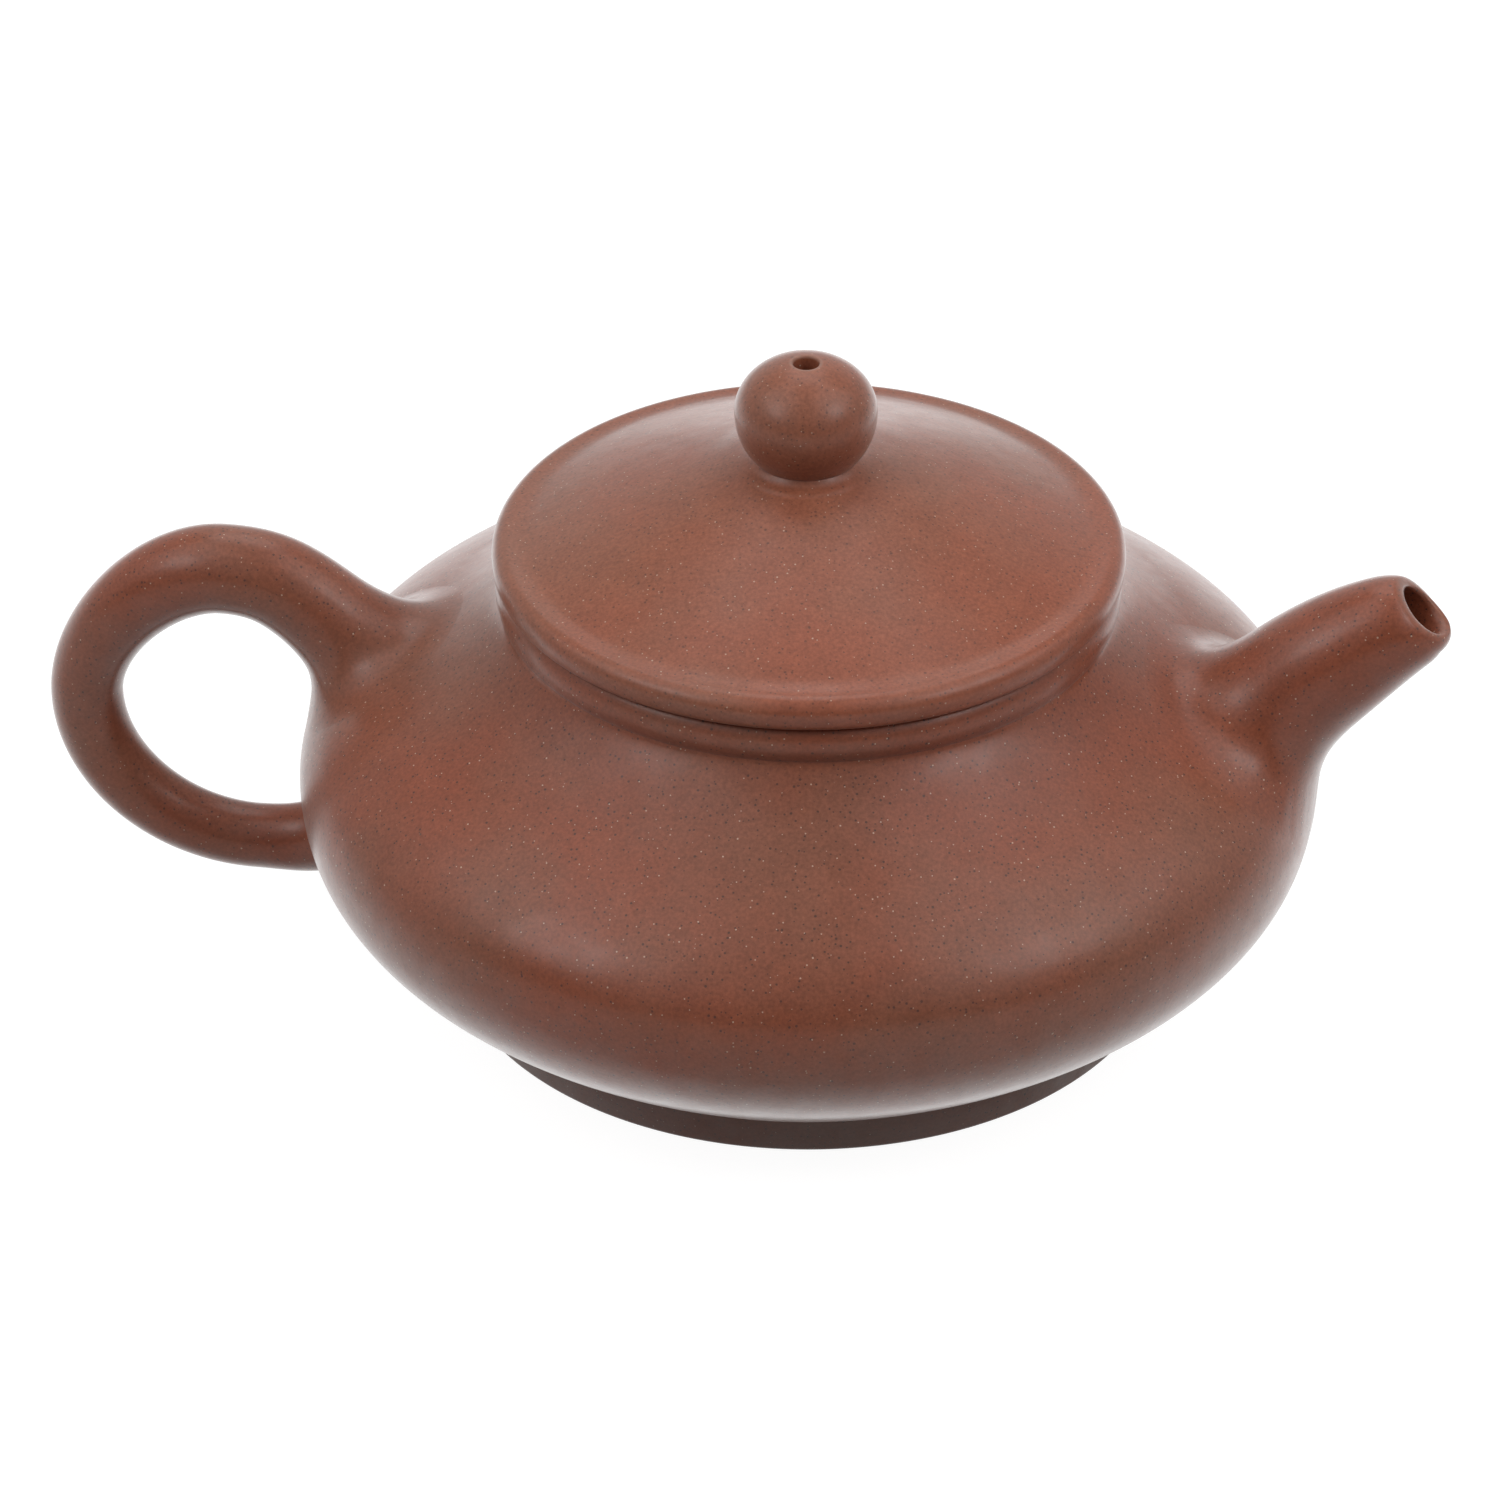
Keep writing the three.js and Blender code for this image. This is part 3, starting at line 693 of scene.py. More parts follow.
s_through = column_reach(bore_skin, above_pot, CUT_PAST, BORE_STRETCH, q)
u = np.linspace(0, 1, CUT_ROWS)[:, None]
s_grid = CUT_START + (s_through - CUT_START) * u
plug_skin = bore_skin(s_grid, np.broadcast_to(q, s_grid.shape))
plug_line = spout_line.centre(s_grid)
arm = plug_skin - plug_line
plug_skin = plug_line + arm * (1 + CUT_SLACK / np.linalg.norm(arm, axis=-1)[..., None])
plug_grid = np.concatenate([shrunk(plug_skin[0]), plug_skin, shrunk(plug_skin[-1])])
cutter = link("passage_cutter", make_mesh("passage_cutter", plug_grid))
wall = dress(carve(wall_mesh, cutter, "pot_wall"), "pot", ["body_shell"], "body_clay")

# %% [markdown]
# ## The handle
# One coil of clay, rolled thinner towards its lower end and bent into an ear. It leaves the
# shoulder thick, reaches its crown just below the rim and comes back under the belly. A curve
# object with a round bevel would give an even tube. The line here is four Bezier curves through
# five places, and its radius runs smoothly between five values, as a rolled coil's does.

# %% The handle's line and skin
HANDLE_SIDES = 80
HANDLE_TOP_LEAN, HANDLE_FOOT_LEAN = 35, -58
HANDLE_RADII = [5.1, 4.65, 3.75, 3.4, 3.5]
HANDLE_SWELL, HANDLE_SWELL_REACH = 2.3, 8.5
top_root = at(outline_radius(32.9), 32.9)
crown = at(BELLY_RADIUS + 8.3, NECK_TOP - 5.5)
back_of_ear = at(BELLY_RADIUS + 23.45, 25.1)
underside = at(BELLY_RADIUS + 5.9, 8.6)
foot_root = at(outline_radius(11.8), 11.8)
handle_line = Line(
    [top_root - along(HANDLE_TOP_LEAN, 6), top_root],
    bezier(top_root, top_root + along(HANDLE_TOP_LEAN, 9.4), crown - at(7, 0), crown),
    bezier(crown, crown + at(7, 0), back_of_ear + at(0, 7.4), back_of_ear),
    bezier(back_of_ear, back_of_ear - at(0, 9.3), underside + at(9.4, 0), underside),
    bezier(underside, underside - at(4.6, 0), foot_root + along(HANDLE_FOOT_LEAN, 4.6), foot_root),
    [foot_root, foot_root - along(HANDLE_FOOT_LEAN, 5)],
)
handle_stops = (top_root, crown, back_of_ear, underside, foot_root)
handle_places = [handle_line.nearest(stop) for stop in handle_stops]
length = handle_line.length


def handle_radius(s):
    """A smooth step, 3 t^2 - 2 t^3, from each named radius to the next."""
    t = np.clip((s[..., None] - handle_places[:-1]) / np.diff(handle_places), 0, 1)
    return HANDLE_RADII[0] + (np.diff(HANDLE_RADII) * t * t * (3 - 2 * t)).sum(-1)


def handle_skin(s, q):
    """The coil's skin at a distance from its upper end."""
    return tube_point(
        handle_line, s, q, handle_radius, HANDLE_SWELL, HANDLE_SWELL_REACH, side=-1
    )


def skin_from_foot(t, q):
    """The coil's skin at a distance from its lower end."""
    return handle_skin(length - t, q)


print(f"handle: {length:.0f} mm of clay coil")

# %% The handle's fillets and mesh
TOP_STAND, TOP_STAND_UNDER, FOOT_STAND = 3.2, 1.2, 2.8  # where the fillets leave the coil
TOP_LANDING, TOP_LANDING_UNDER, FOOT_LANDING = 3.5, 1.8, 2.6  # how far out they land
HANDLE_FILLET_ROWS, HANDLE_ROWS = 24, 190
POLE_DEPTH = 1.6  # the ends of the grid close this deep in the wall

q = bearings(HANDLE_SIDES)
under = underneath(q)
mid = handle_places[2]
from_top, from_foot = (0.5, mid), (0.5, length - mid)
top_stand = TOP_STAND + TOP_STAND_UNDER * under
meets_top = column_reach(handle_skin, above_pot, 0.0, from_top, q)
leaves_top = column_reach(handle_skin, above_pot, top_stand, from_top, q)
meets_foot = length - column_reach(skin_from_foot, above_pot, 0.0, from_foot, q)
leaves_foot = length - column_reach(skin_from_foot, above_pot, FOOT_STAND, from_foot, q)


def root_fillet(s_leave, s_meet, landing):
    """The fillet at one end of the handle."""
    return fillet(
        handle_skin, handle_line, q, s_leave, s_meet, landing, HANDLE_FILLET_ROWS, side=-1
    )


def buried_pole(row):
    """A row shrunk to one point that lies inside the wall, behind the row's middle."""
    pole = shrunk(row)
    _, out = stand_off(pole)
    return pole - POLE_DEPTH * out


top_fillet = root_fillet(leaves_top, meets_top, TOP_LANDING + TOP_LANDING_UNDER * under)
foot_fillet = root_fillet(leaves_foot, meets_foot, FOOT_LANDING)
u = np.linspace(0, 1, HANDLE_ROWS)[:, None]
s_grid = leaves_top + (leaves_foot - leaves_top) * u
coil = handle_skin(s_grid, np.broadcast_to(q, s_grid.shape))
top_pole, foot_pole = buried_pole(top_fillet[0]), buried_pole(foot_fillet[0])
handle_grid = np.concatenate([top_pole, top_fillet, coil, foot_fillet[::-1], foot_pole])
handle = finish_piece("handle", handle_grid, "pot", "body_clay", ring_rows=False)

# %% [markdown]
# ## Base, foot and neck
# The floor is a disc set inside the wall, and its edge is pressed into the wall so that the fired
# pot shows no seam. The pot stands on a narrow turned ring that steps in from the base's edge,
# which leaves the dark line under the belly. The neck is a rounded ring of clay on top of the
# body, with a soft crease below it and a flat seat for the lid above. All three are plain turned
# sections, because that is how they are made on the wheel.

# %% Base disc and foot ring
BASE_LAP = 0.3  # how far the disc's edge is pressed into the wall
DISC_SHY = 0.02  # the disc's faces lie this far inside the wall's, so that none coincide
DISC_STEP, DISC_SIDES = 1.0, 144
disc_low, disc_high = BASE_UNDERSIDE + DISC_SHY, BASE_TOP - DISC_SHY
disc_edge = FLOOR_RADIUS + BASE_LAP
disc_corners = [at(0, disc_low), at(disc_edge, disc_low), at(disc_edge, disc_high), at(0, disc_high)]
base_grid = turned(evenly(chain(*disc_corners), DISC_STEP), DISC_SIDES)
base = finish_piece("base_disc", base_grid, "pot", "body_clay", ring_rows=False)

FOOT_RADIUS, FOOT_WALL = 37.2, 3.4
FOOT_FLARE, FOOT_LAP = 0.5, 0.3
foot_section = rounded(
    [
        at(FOOT_RADIUS - FOOT_WALL, 0),
        at(FOOT_RADIUS, 0),
        at(FOOT_RADIUS + FOOT_FLARE, BASE_UNDERSIDE + FOOT_LAP),
        at(FOOT_RADIUS - FOOT_WALL, BASE_UNDERSIDE + FOOT_LAP),
    ],
    [0.6, 0.55, 0.1, 0.1],
)
foot = finish_piece("foot_ring", turned(foot_section, ROUND_SIDES), "pot", "body_clay")

# %% Neck ring
NECK_BULGE, NECK_TUCK = 0.35, 0.75  # how far the ring swells out, and draws in at its edges
neck_low, neck_high = BODY_TOP - 0.1, NECK_TOP
neck_bulge = bezier(
    at(NECK_RADIUS - NECK_TUCK, neck_low),
    at(NECK_RADIUS + 0.25, neck_low + NECK_TUCK),
    at(NECK_RADIUS + NECK_BULGE, neck_high - 1.0),
    at(NECK_RADIUS - NECK_TUCK, neck_high - 0.02),
    22,
)
neck_inner = round_corner(
    at(NECK_RADIUS - 1, neck_high), at(MOUTH_RADIUS, neck_high), at(MOUTH_RADIUS, neck_low), 0.45
)
neck_section = chain(
    at(MOUTH_RADIUS, neck_low),
    neck_bulge,
    at(NECK_RADIUS - 0.95, neck_high),
    neck_inner,
)
neck = finish_piece("neck_ring", turned(neck_section, ROUND_SIDES), "pot", "body_clay")

# %% [markdown]
# ## The filter
# Behind the spout sits a small pierced dome that holds the leaves back. It is a shell between two
# spheres, and the potter pricks it with a rod. The holes could be a pattern in the material, but
# then no tea would pass. So the rods are made as meshes, joined into one and cut away: one in the
# middle and two rings round it.

# %% Pierced dome
FILTER_RADIUS, FILTER_WALL, FILTER_HOLE = 9.0, 1.5, 1.0
FILTER_SIDES, PIN_SIDES = 96, 20
DOME_EDGE = math.radians(86)
OUTER_ROWS, INNER_ROWS = 30, 26
HOLE_RINGS = ((1, 0), (6, 25), (12, 50))  # holes in each ring, and its angle off the middle
filter_height = SPOUT_ROOT_HEIGHT - WALL
filter_radius = np.interp(filter_height, lining[:, 1], lining[:, 0])
filter_centre = in_space(at(filter_radius, filter_height))
inwards = -in_space(along(SPOUT_LEAN, 1))
sideways_y = np.array([0.0, 1, 0])
third = np.cross(inwards, sideways_y)


def cap(radius, polar, bearing):
    """A point of a sphere about the filter's centre: radius (sin p cos b, sin p sin b, cos p),
    counted across the spout's axis, up along the wall and inwards."""
    across = radius * np.sin(polar) * np.cos(bearing)
    along_wall = radius * np.sin(polar) * np.sin(bearing)
    depth = radius * np.cos(polar)
    return (
        filter_centre
        + depth[..., None] * inwards
        + across[..., None] * sideways_y
        + along_wall[..., None] * third
    )


def pin(tilt, bearing):
    """A rod through the dome, square to it: four rows, of which the ends are points."""
    axis = cap(1.0, np.array(tilt), np.array(bearing)) - filter_centre
    side_a = np.cross(axis, third + 0.3 * sideways_y)
    side_a /= np.linalg.norm(side_a)
    side_b = np.cross(axis, side_a)
    around = bearings(PIN_SIDES)[:, None]
    disc = FILTER_HOLE * (np.cos(around) * side_a + np.sin(around) * side_b)
    low = filter_centre + axis * (FILTER_RADIUS - 2.6 * FILTER_WALL)
    high = filter_centre + axis * (FILTER_RADIUS + FILTER_WALL)
    return np.stack([low + 0 * disc, low + disc, high + disc, high + 0 * disc])


outer_polar = np.linspace(0, DOME_EDGE, OUTER_ROWS)[:, None]
inner_polar = np.linspace(DOME_EDGE, 0, INNER_ROWS)[:, None]
dome_bearing = bearings(FILTER_SIDES)
outer_cap = cap(FILTER_RADIUS, outer_polar, dome_bearing)
inner_cap = cap(FILTER_RADIUS - FILTER_WALL, inner_polar, dome_bearing)
pins = [
    pin(math.radians(tilt), 2 * math.pi * k / count)
    for count, tilt in HOLE_RINGS
    for k in range(count)
]
joined = bmesh.new()
for k, rod in enumerate(pins):
    joined.from_mesh(make_mesh(f"pin_{k}", rod))
rods = bpy.data.meshes.new("pins")
joined.to_mesh(rods)
joined.free()
dome_mesh = make_mesh("spout_filter", np.concatenate([outer_cap, inner_cap]))
dome = carve(dome_mesh, link("pins", rods), "spout_filter")
dress(dome, "pot", ["spout_filter"], "inner_clay")

# %% [markdown]
# ## The lid
# The lid overhangs the neck by a hair. Its rim is a fat round bead, then a shallow crease, then a
# low dome that rises to the knob in a hollow curve. Under the knob lies a soft ring that fades
# towards the back, where the finger that smoothed it never went. So the lid is turned twice, with
# the ring and without, and the two grids are blended by bearing: that keeps each of them simple.
# A flange under the lid drops into the mouth and keeps it centred. An air hole runs through knob
# and lid, or the pot wouldn't pour.

# %% The lid's bead and dome
LID_SEAT = NECK_TOP + 0.3
LID_RADIUS = NECK_RADIUS + 0.35
LID_CORNER = 0.7
BEAD = 1.75
DOME_LEAN, STEP_LEAN, DOME_PULL = 24, 20, 7.5
DOME_STEP, DOME_SKIP = 0.4, 4  # spacing of the dome's points, and how many the crease takes
FLANGE_INNER = 25.4
UNDER_DOME_RADIUS = 24.4
VENT_RADIUS = 1.3
crease = at(LID_RADIUS - 3.3, LID_SEAT + 3.35)
step_edge = at(7.4, 58.85)
dome_line = bezier(
    crease,
    crease + along(180 - DOME_LEAN, DOME_PULL),
    step_edge - along(180 - STEP_LEAN, DOME_PULL),
    step_edge,
)
dome_line = evenly(dome_line, DOME_STEP)[DOME_SKIP:]
dome_foot, dome_run = dome_line[0], dome_line[0] - dome_line[1]
bead_centre = at(LID_RADIUS - BEAD, crease[1] - BEAD - 0.1)
quarter = np.linspace(0, math.pi / 2, 12)[:, None]
bead_arc = bead_centre + BEAD * np.concatenate([np.cos(quarter), np.sin(quarter)], 1)
bead_top = bead_arc[-1]
into_dome = bezier(bead_top, bead_top - at(1.3, 0), dome_foot + dome_run * 3, dome_foot, 30)
under_dome = sideways(dome_line, -WALL)
under_dome = under_dome[under_dome[:, 0] < UNDER_DOME_RADIUS]
print(f"lid: {2 * LID_RADIUS:.1f} mm across, its dome rises {step_edge[1] - crease[1]:.1f} mm")

# %% The ring under the knob, and the lid's mesh
KNOB_SEAT_RADIUS, KNOB_SEAT = 5.45, 60.25
KNOB_ASIDE = 0.37
ASIDE_EDGE, ASIDE_FADE = 13, 5  # nothing moves past this radius, and over this width it fades
ring_edge, knob_foot = at(6.65, 59.2), at(5.3, KNOB_SEAT)
ringed = chain(
    bezier(step_edge, step_edge + along(163, 0.35), at(6.95, 59.1), ring_edge, 12),
    bezier(ring_edge, at(6.15, 59.38), at(5.8, 59.4), knob_foot, 16),
)
smooth = bezier(
    step_edge, step_edge + along(160, 0.9), at(5.75, 59.5), knob_foot, len(ringed) - 1
)


def set_aside(grid):
    """The potter set the knob a little off the middle. Points near the middle move towards the
    handle by the full distance, those past the edge not at all, with a smooth step between."""
    radius = np.hypot(grid[..., 0], grid[..., 1])
    near = np.clip((ASIDE_EDGE - radius) / ASIDE_FADE, 0, 1)
    moved = np.array(grid)
    moved[..., 0] -= KNOB_ASIDE * near * near * (3 - 2 * near)
    return moved


def lid_grid(under_knob):
    """The lid turned from its section, with a given run between the dome and the knob."""
    inner_edge = at(FLANGE_INNER, LID_SEAT)
    section = chain(
        inner_edge,
        round_corner(inner_edge, at(LID_RADIUS - 0.15, LID_SEAT), bead_arc[0], LID_CORNER),
        bead_arc,
        into_dome,
        dome_line,
        under_knob,
        at(VENT_RADIUS, KNOB_SEAT),
        at(VENT_RADIUS, under_dome[-1, 1]),
        evenly(under_dome, 0.6)[::-1],
    )
    return turned(section, ROUND_SIDES)


with_ring, without = lid_grid(ringed), lid_grid(smooth)
facing = np.clip(-with_ring[..., 1:2] / np.hypot(with_ring[..., :1], with_ring[..., 1:2]), 0, 1)
lid_skin = set_aside(with_ring * facing + without * (1 - facing))
lid = finish_piece("lid_plate", lid_skin, "lid", "lid_clay")

# %% Lid flange
FLANGE_DEPTH, FLANGE_LAP = 7, 0.1
FLANGE_FOOT, FLANGE_ROOT = 27.6, 28.0
FLANGE_SIDES = 192
flange_section = rounded(
    [
        at(FLANGE_INNER, LID_SEAT - FLANGE_DEPTH),
        at(FLANGE_FOOT, LID_SEAT - FLANGE_DEPTH),
        at(FLANGE_ROOT, LID_SEAT + FLANGE_LAP),
        at(FLANGE_INNER, LID_SEAT + FLANGE_LAP),
    ],
    [0.5, 0.6, 0.1, 0.1],
)
flange = finish_piece("lid_flange", turned(flange_section, FLANGE_SIDES), "lid", "inner_clay")

# %% [markdown]
# ## The knob
# A ball of clay, a little flatter above its widest line than below it, pinched on and pricked
# through. A UV sphere would be a ball and no more. Two quarter ellipses that meet at the waist
# give it the right fullness, and the same turned section carries the air hole.

# %% Knob
KNOB_RADIUS, KNOB_WAIST, KNOB_CAP, KNOB_LOWER = 7.23, 64.95, 5.75, 7.6
KNOB_LAP = 0.2  # how far the knob and its edge are sunk into the lid
KNOB_SIDES = 144
VENT_PALE_EDGE, VENT_PALE_EDGE_ROWS = 0.8, slice(-8, -2)
low_angle = -math.acos(KNOB_SEAT_RADIUS / KNOB_RADIUS)
rim_angle = math.acos((VENT_RADIUS + 0.3) / KNOB_RADIUS)
low = np.linspace(low_angle, 0, 30, endpoint=False)[:, None]
high = np.linspace(0, rim_angle, 46)[:, None]
knob_side = chain(
    np.concatenate([np.cos(low) * KNOB_RADIUS, KNOB_WAIST + np.sin(low) * KNOB_LOWER], 1),
    np.concatenate([np.cos(high) * KNOB_RADIUS, KNOB_WAIST + np.sin(high) * KNOB_CAP], 1),
)
knob_top = knob_side[-1]
vent_rim = bezier(
    knob_top,
    knob_top - at(0.15, -0.01),
    at(VENT_RADIUS, knob_top[1] - 0.05),
    at(VENT_RADIUS, knob_top[1] - 0.35),
    6,
)
knob_section = chain(
    at(VENT_RADIUS, KNOB_SEAT - KNOB_LAP),
    at(KNOB_SEAT_RADIUS - 0.25, KNOB_SEAT - KNOB_LAP),
    knob_side,
    vent_rim,
    at(VENT_RADIUS, knob_top[1] - 1.2),
)
arris = np.zeros((len(knob_section), 1))
arris[VENT_PALE_EDGE_ROWS] = VENT_PALE_EDGE
knob_grid = set_aside(turned(knob_section, KNOB_SIDES))
knob = finish_piece("lid_knob", knob_grid, "lid", "lid_clay", marks={"arris": arris})

# %% [markdown]
# ## The clay
# Unglazed stoneware that has been burnished before firing: a satin skin whose colour drifts
# between a redder and a greyer brown, with fine sand showing as pale and dark specks and a soft
# grain under everything. A photograph wrapped round the pot would smear and repeat. So one node
# group makes that pattern from the object's own coordinates, and puts out a colour, a roughness,
# a height, and how burnished the clay is: less so on the foot, which was left as the tool left it.
# The foot's colour is also darkened towards near black, as painted shade for the shadow that the
# belly casts on it. Each of the three clays sets its own values.

# %% Short ways to work with nodes
class Nodes:
    """A node tree with short ways to add nodes and to join them up."""

    def __init__(self, tree):
        self.tree = tree

    def add(self, kind, **values):
        node = self.tree.nodes.new(kind)
        for name, value in values.items():
            setattr(node, name, value)
        return node

    def feed(self, socket, value):
        """Joins a node's output to a socket, or sets the socket to a plain value."""
        if isinstance(value, bpy.types.NodeSocket):
            self.tree.links.new(value, socket)
        else:
            socket.default_value = value

    def feed_all(self, node, values):
        for name, value in values.items():
            self.feed(node.inputs[name], value)

    def calculate(self, operation, *terms):
        node = self.add("ShaderNodeMath", operation=operation)
        for socket, value in zip(node.inputs, terms):
            self.feed(socket, value)
        return node.outputs[0]

    def remap(self, value, low, high, to_low=0.0, to_high=1.0, smooth=False):
        """A value's range, low to high, laid onto another one, straight or as a smooth step."""
        node = self.add("ShaderNodeMapRange")
        node.interpolation_type = "SMOOTHSTEP" if smooth else "LINEAR"
        for socket, number in zip(node.inputs, (value, low, high, to_low, to_high)):
            self.feed(socket, number)
        return node.outputs[0]


def empty_material(name):
    """A new material and its cleared node tree."""
    material = bpy.data.materials.new(name)
    material.use_nodes = True
    material.node_tree.nodes.clear()
    return material, Nodes(material.node_tree)


def srgb(red, green, blue):
    """A colour as a painter would pick it, 0 to 255, turned into Blender's linear light."""
    part = np.array([red, green, blue]) / 255
    linear = np.where(part <= 0.04045, part / 12.92, ((part + 0.055) / 1.055) ** 2.4)
    return (*linear.tolist(), 1.0)


print(f"a middle grey of 128 is {srgb(128, 128, 128)[0]:.3f} in linear light")

# %% Node group: fired clay
# Scales count waves or cells in a metre: 34 makes patches of 30 mm, and 2600 a grain of 0.4 mm.
DRIFT_SCALE, MOTTLE_SCALE, GRAIN_SCALE = 34, 260, 2600
DARK_SAND_SCALE, PALE_SAND_SCALE = 1900, 1800
BRUSH_SCALE, STROKE_SCALE, DENT_SCALE = 420, 240, 110
DARK_SAND, PALE_SAND = (0.035, 0.02, 0.018, 1), (0.55, 0.4, 0.3, 1)
PALE_EDGE_CLAY, FOOT_SHADOW_PAINT = (0.32, 0.2, 0.15, 1), (0.02, 0.01, 0.006, 1)
# Painted shade: below these heights the foot ring's colour is darkened towards near black, standing
# in for the belly's shadow.
FOOT_LINE_TOP, FOOT_LINE_LOW = 0.0056, 0.0048  # metres above the table
FOOT_SHADE, FOOT_DULL = 0.65, 0.85
GROUP_NUMBERS = {"Roughness": 0.45, "Brushing": 0.4, "Pale sand": 0.6, "Dark sand": 0.6}


def open_group(name):
    """An empty node group with the sockets that a clay needs."""
    group = bpy.data.node_groups.new(name, "ShaderNodeTree")
    face = group.interface
    for title in ("Red clay", "Grey clay"):
        face.new_socket(title, in_out="INPUT", socket_type="NodeSocketColor")
    for title, value in GROUP_NUMBERS.items():
        socket = face.new_socket(title, in_out="INPUT", socket_type="NodeSocketFloat")
        socket.default_value = value
    face.new_socket("Color", in_out="OUTPUT", socket_type="NodeSocketColor")
    for title in ("Roughness", "Height", "Burnished"):
        face.new_socket(title, in_out="OUTPUT", socket_type="NodeSocketFloat")
    return group


def fired_clay_group():
    group = open_group("Fired clay")
    nodes = Nodes(group)
    given = nodes.add("NodeGroupInput").outputs
    outlet = nodes.add("NodeGroupOutput")
    place_on = nodes.add("ShaderNodeTexCoord").outputs["Object"]

    def noise(scale, detail=2.0, roughness=0.5, vector=place_on):
        node = nodes.add("ShaderNodeTexNoise")
        values = {"Scale": scale, "Detail": detail, "Roughness": roughness, "Vector": vector}
        nodes.feed_all(node, values)
        return node.outputs["Fac"]

    def mix(factor, a, b, blend="MIX"):
        node = nodes.add("ShaderNodeMix", data_type="RGBA", blend_type=blend)
        for socket, value in zip((node.inputs[0], node.inputs[6], node.inputs[7]), (factor, a, b)):
            nodes.feed(socket, value)
        return node.outputs[2]

    def times(a, b):
        return nodes.calculate("MULTIPLY", a, b)

    def specks(scale, size, share):
        """Round grains: one in each cell of a Voronoi pattern, where the cell's own random number
        is under the share, and within a distance of the cell's point."""
        cells = nodes.add("ShaderNodeTexVoronoi")
        nodes.feed_all(cells, {"Scale": scale, "Vector": place_on})
        picked = nodes.add("ShaderNodeSeparateColor")
        nodes.feed(picked.inputs[0], cells.outputs["Color"])
        chosen = nodes.calculate("LESS_THAN", picked.outputs[0], share)
        grain_size = nodes.calculate("MULTIPLY_ADD", picked.outputs[1], size / 2, size / 2)
        return times(chosen, nodes.calculate("LESS_THAN", cells.outputs["Distance"], grain_size))

    drift = nodes.remap(noise(DRIFT_SCALE, 3, 0.55), 0.36, 0.66, smooth=True)
    colour = mix(drift, given["Red clay"], given["Grey clay"])
    mottle = nodes.remap(noise(MOTTLE_SCALE, 4, 0.6), 0.3, 0.7, 0.93, 1.07)
    grain = nodes.remap(noise(GRAIN_SCALE, 2, 0.6), 0.25, 0.75, 0.78, 1.22)
    shade = times(mottle, grain)
    tone = nodes.add("ShaderNodeCombineColor")
    for socket in tone.inputs[:3]:
        nodes.feed(socket, shade)
    colour = mix(1.0, colour, tone.outputs[0], "MULTIPLY")
    dark = specks(DARK_SAND_SCALE, 0.27, 0.55)
    pale = specks(PALE_SAND_SCALE, 0.17, 0.3)
    pale_edge = nodes.add("ShaderNodeAttribute", attribute_name="arris").outputs["Fac"]
    place_parts = nodes.add("ShaderNodeSeparateXYZ")
    nodes.feed(place_parts.inputs[0], place_on)
    # The foot ring: this mask paints shade into its colour and takes the burnish off it.
    on_foot = nodes.remap(place_parts.outputs[2], FOOT_LINE_TOP, FOOT_LINE_LOW, smooth=True)
    colour = mix(times(dark, given["Dark sand"]), colour, DARK_SAND)
    colour = mix(times(pale, given["Pale sand"]), colour, PALE_SAND)
    colour = mix(times(pale_edge, 0.45), colour, PALE_EDGE_CLAY)
    # Painted shade: the foot ring is darkened as if it lay in the belly's shadow.
    colour = mix(times(on_foot, FOOT_SHADE), colour, FOOT_SHADOW_PAINT)
    nodes.feed(outlet.inputs["Color"], colour)
    burnished = nodes.calculate("MULTIPLY_ADD", on_foot, -FOOT_DULL, 1.0)
    nodes.feed(outlet.inputs["Burnished"], burnished)

    brushing = nodes.remap(noise(BRUSH_SCALE, 3, 0.6), 0.3, 0.7, -1, 1)
    patches = nodes.remap(noise(45), 0.3, 0.7, -1, 1, smooth=True)
    spread = nodes.calculate("ADD", times(brushing, 0.07), times(patches, 0.05))
    nodes.feed(outlet.inputs["Roughness"], nodes.calculate("ADD", given["Roughness"], spread))

    long_way = nodes.add("ShaderNodeMapping")
    nodes.feed_all(long_way, {"Scale": (1, 1, 7), "Vector": place_on})
    strokes = noise(STROKE_SCALE, 4, 0.6, long_way.outputs[0])
    height = times(strokes, given["Brushing"])
    height = nodes.calculate("ADD", height, times(noise(GRAIN_SCALE, 3, 0.6), 0.4))
    height = nodes.calculate("ADD", height, times(noise(DENT_SCALE, 2, 0.5), 1.6))
    height = nodes.calculate("ADD", height, times(pale, 0.5))
    height = nodes.calculate("SUBTRACT", height, times(dark, 0.35))
    nodes.feed(outlet.inputs["Height"], height)
    print(f"{group.name}: {len(group.nodes)} nodes")
    return group


fired_clay = fired_clay_group()

# %% [markdown]
# ## The three clays
# Body, lid and inner pieces are of one clay, but the lid was fired a little paler, and nobody
# burnishes the inside. A burnished skin shines most where it is seen edge on, and more than a
# plain gloss would. So a coat lies over the clay whose weight grows from facing to edge, and the
# group's own mask takes it off the foot.

# %% The three clays
FACING_FROM, FACING_TO = 0.36, 0.85  # between these the coat grows
COAT_FACING, COAT_EDGE = 0.08, 0.85
BUMP_DISTANCE = 0.00006  # metres
SKIN_VALUES = {
    "IOR": 1.42,
    "Coat IOR": 1.78,
    "Coat Roughness": 0.22,
    "Sheen Weight": 0.08,
    "Sheen Roughness": 0.3,
}


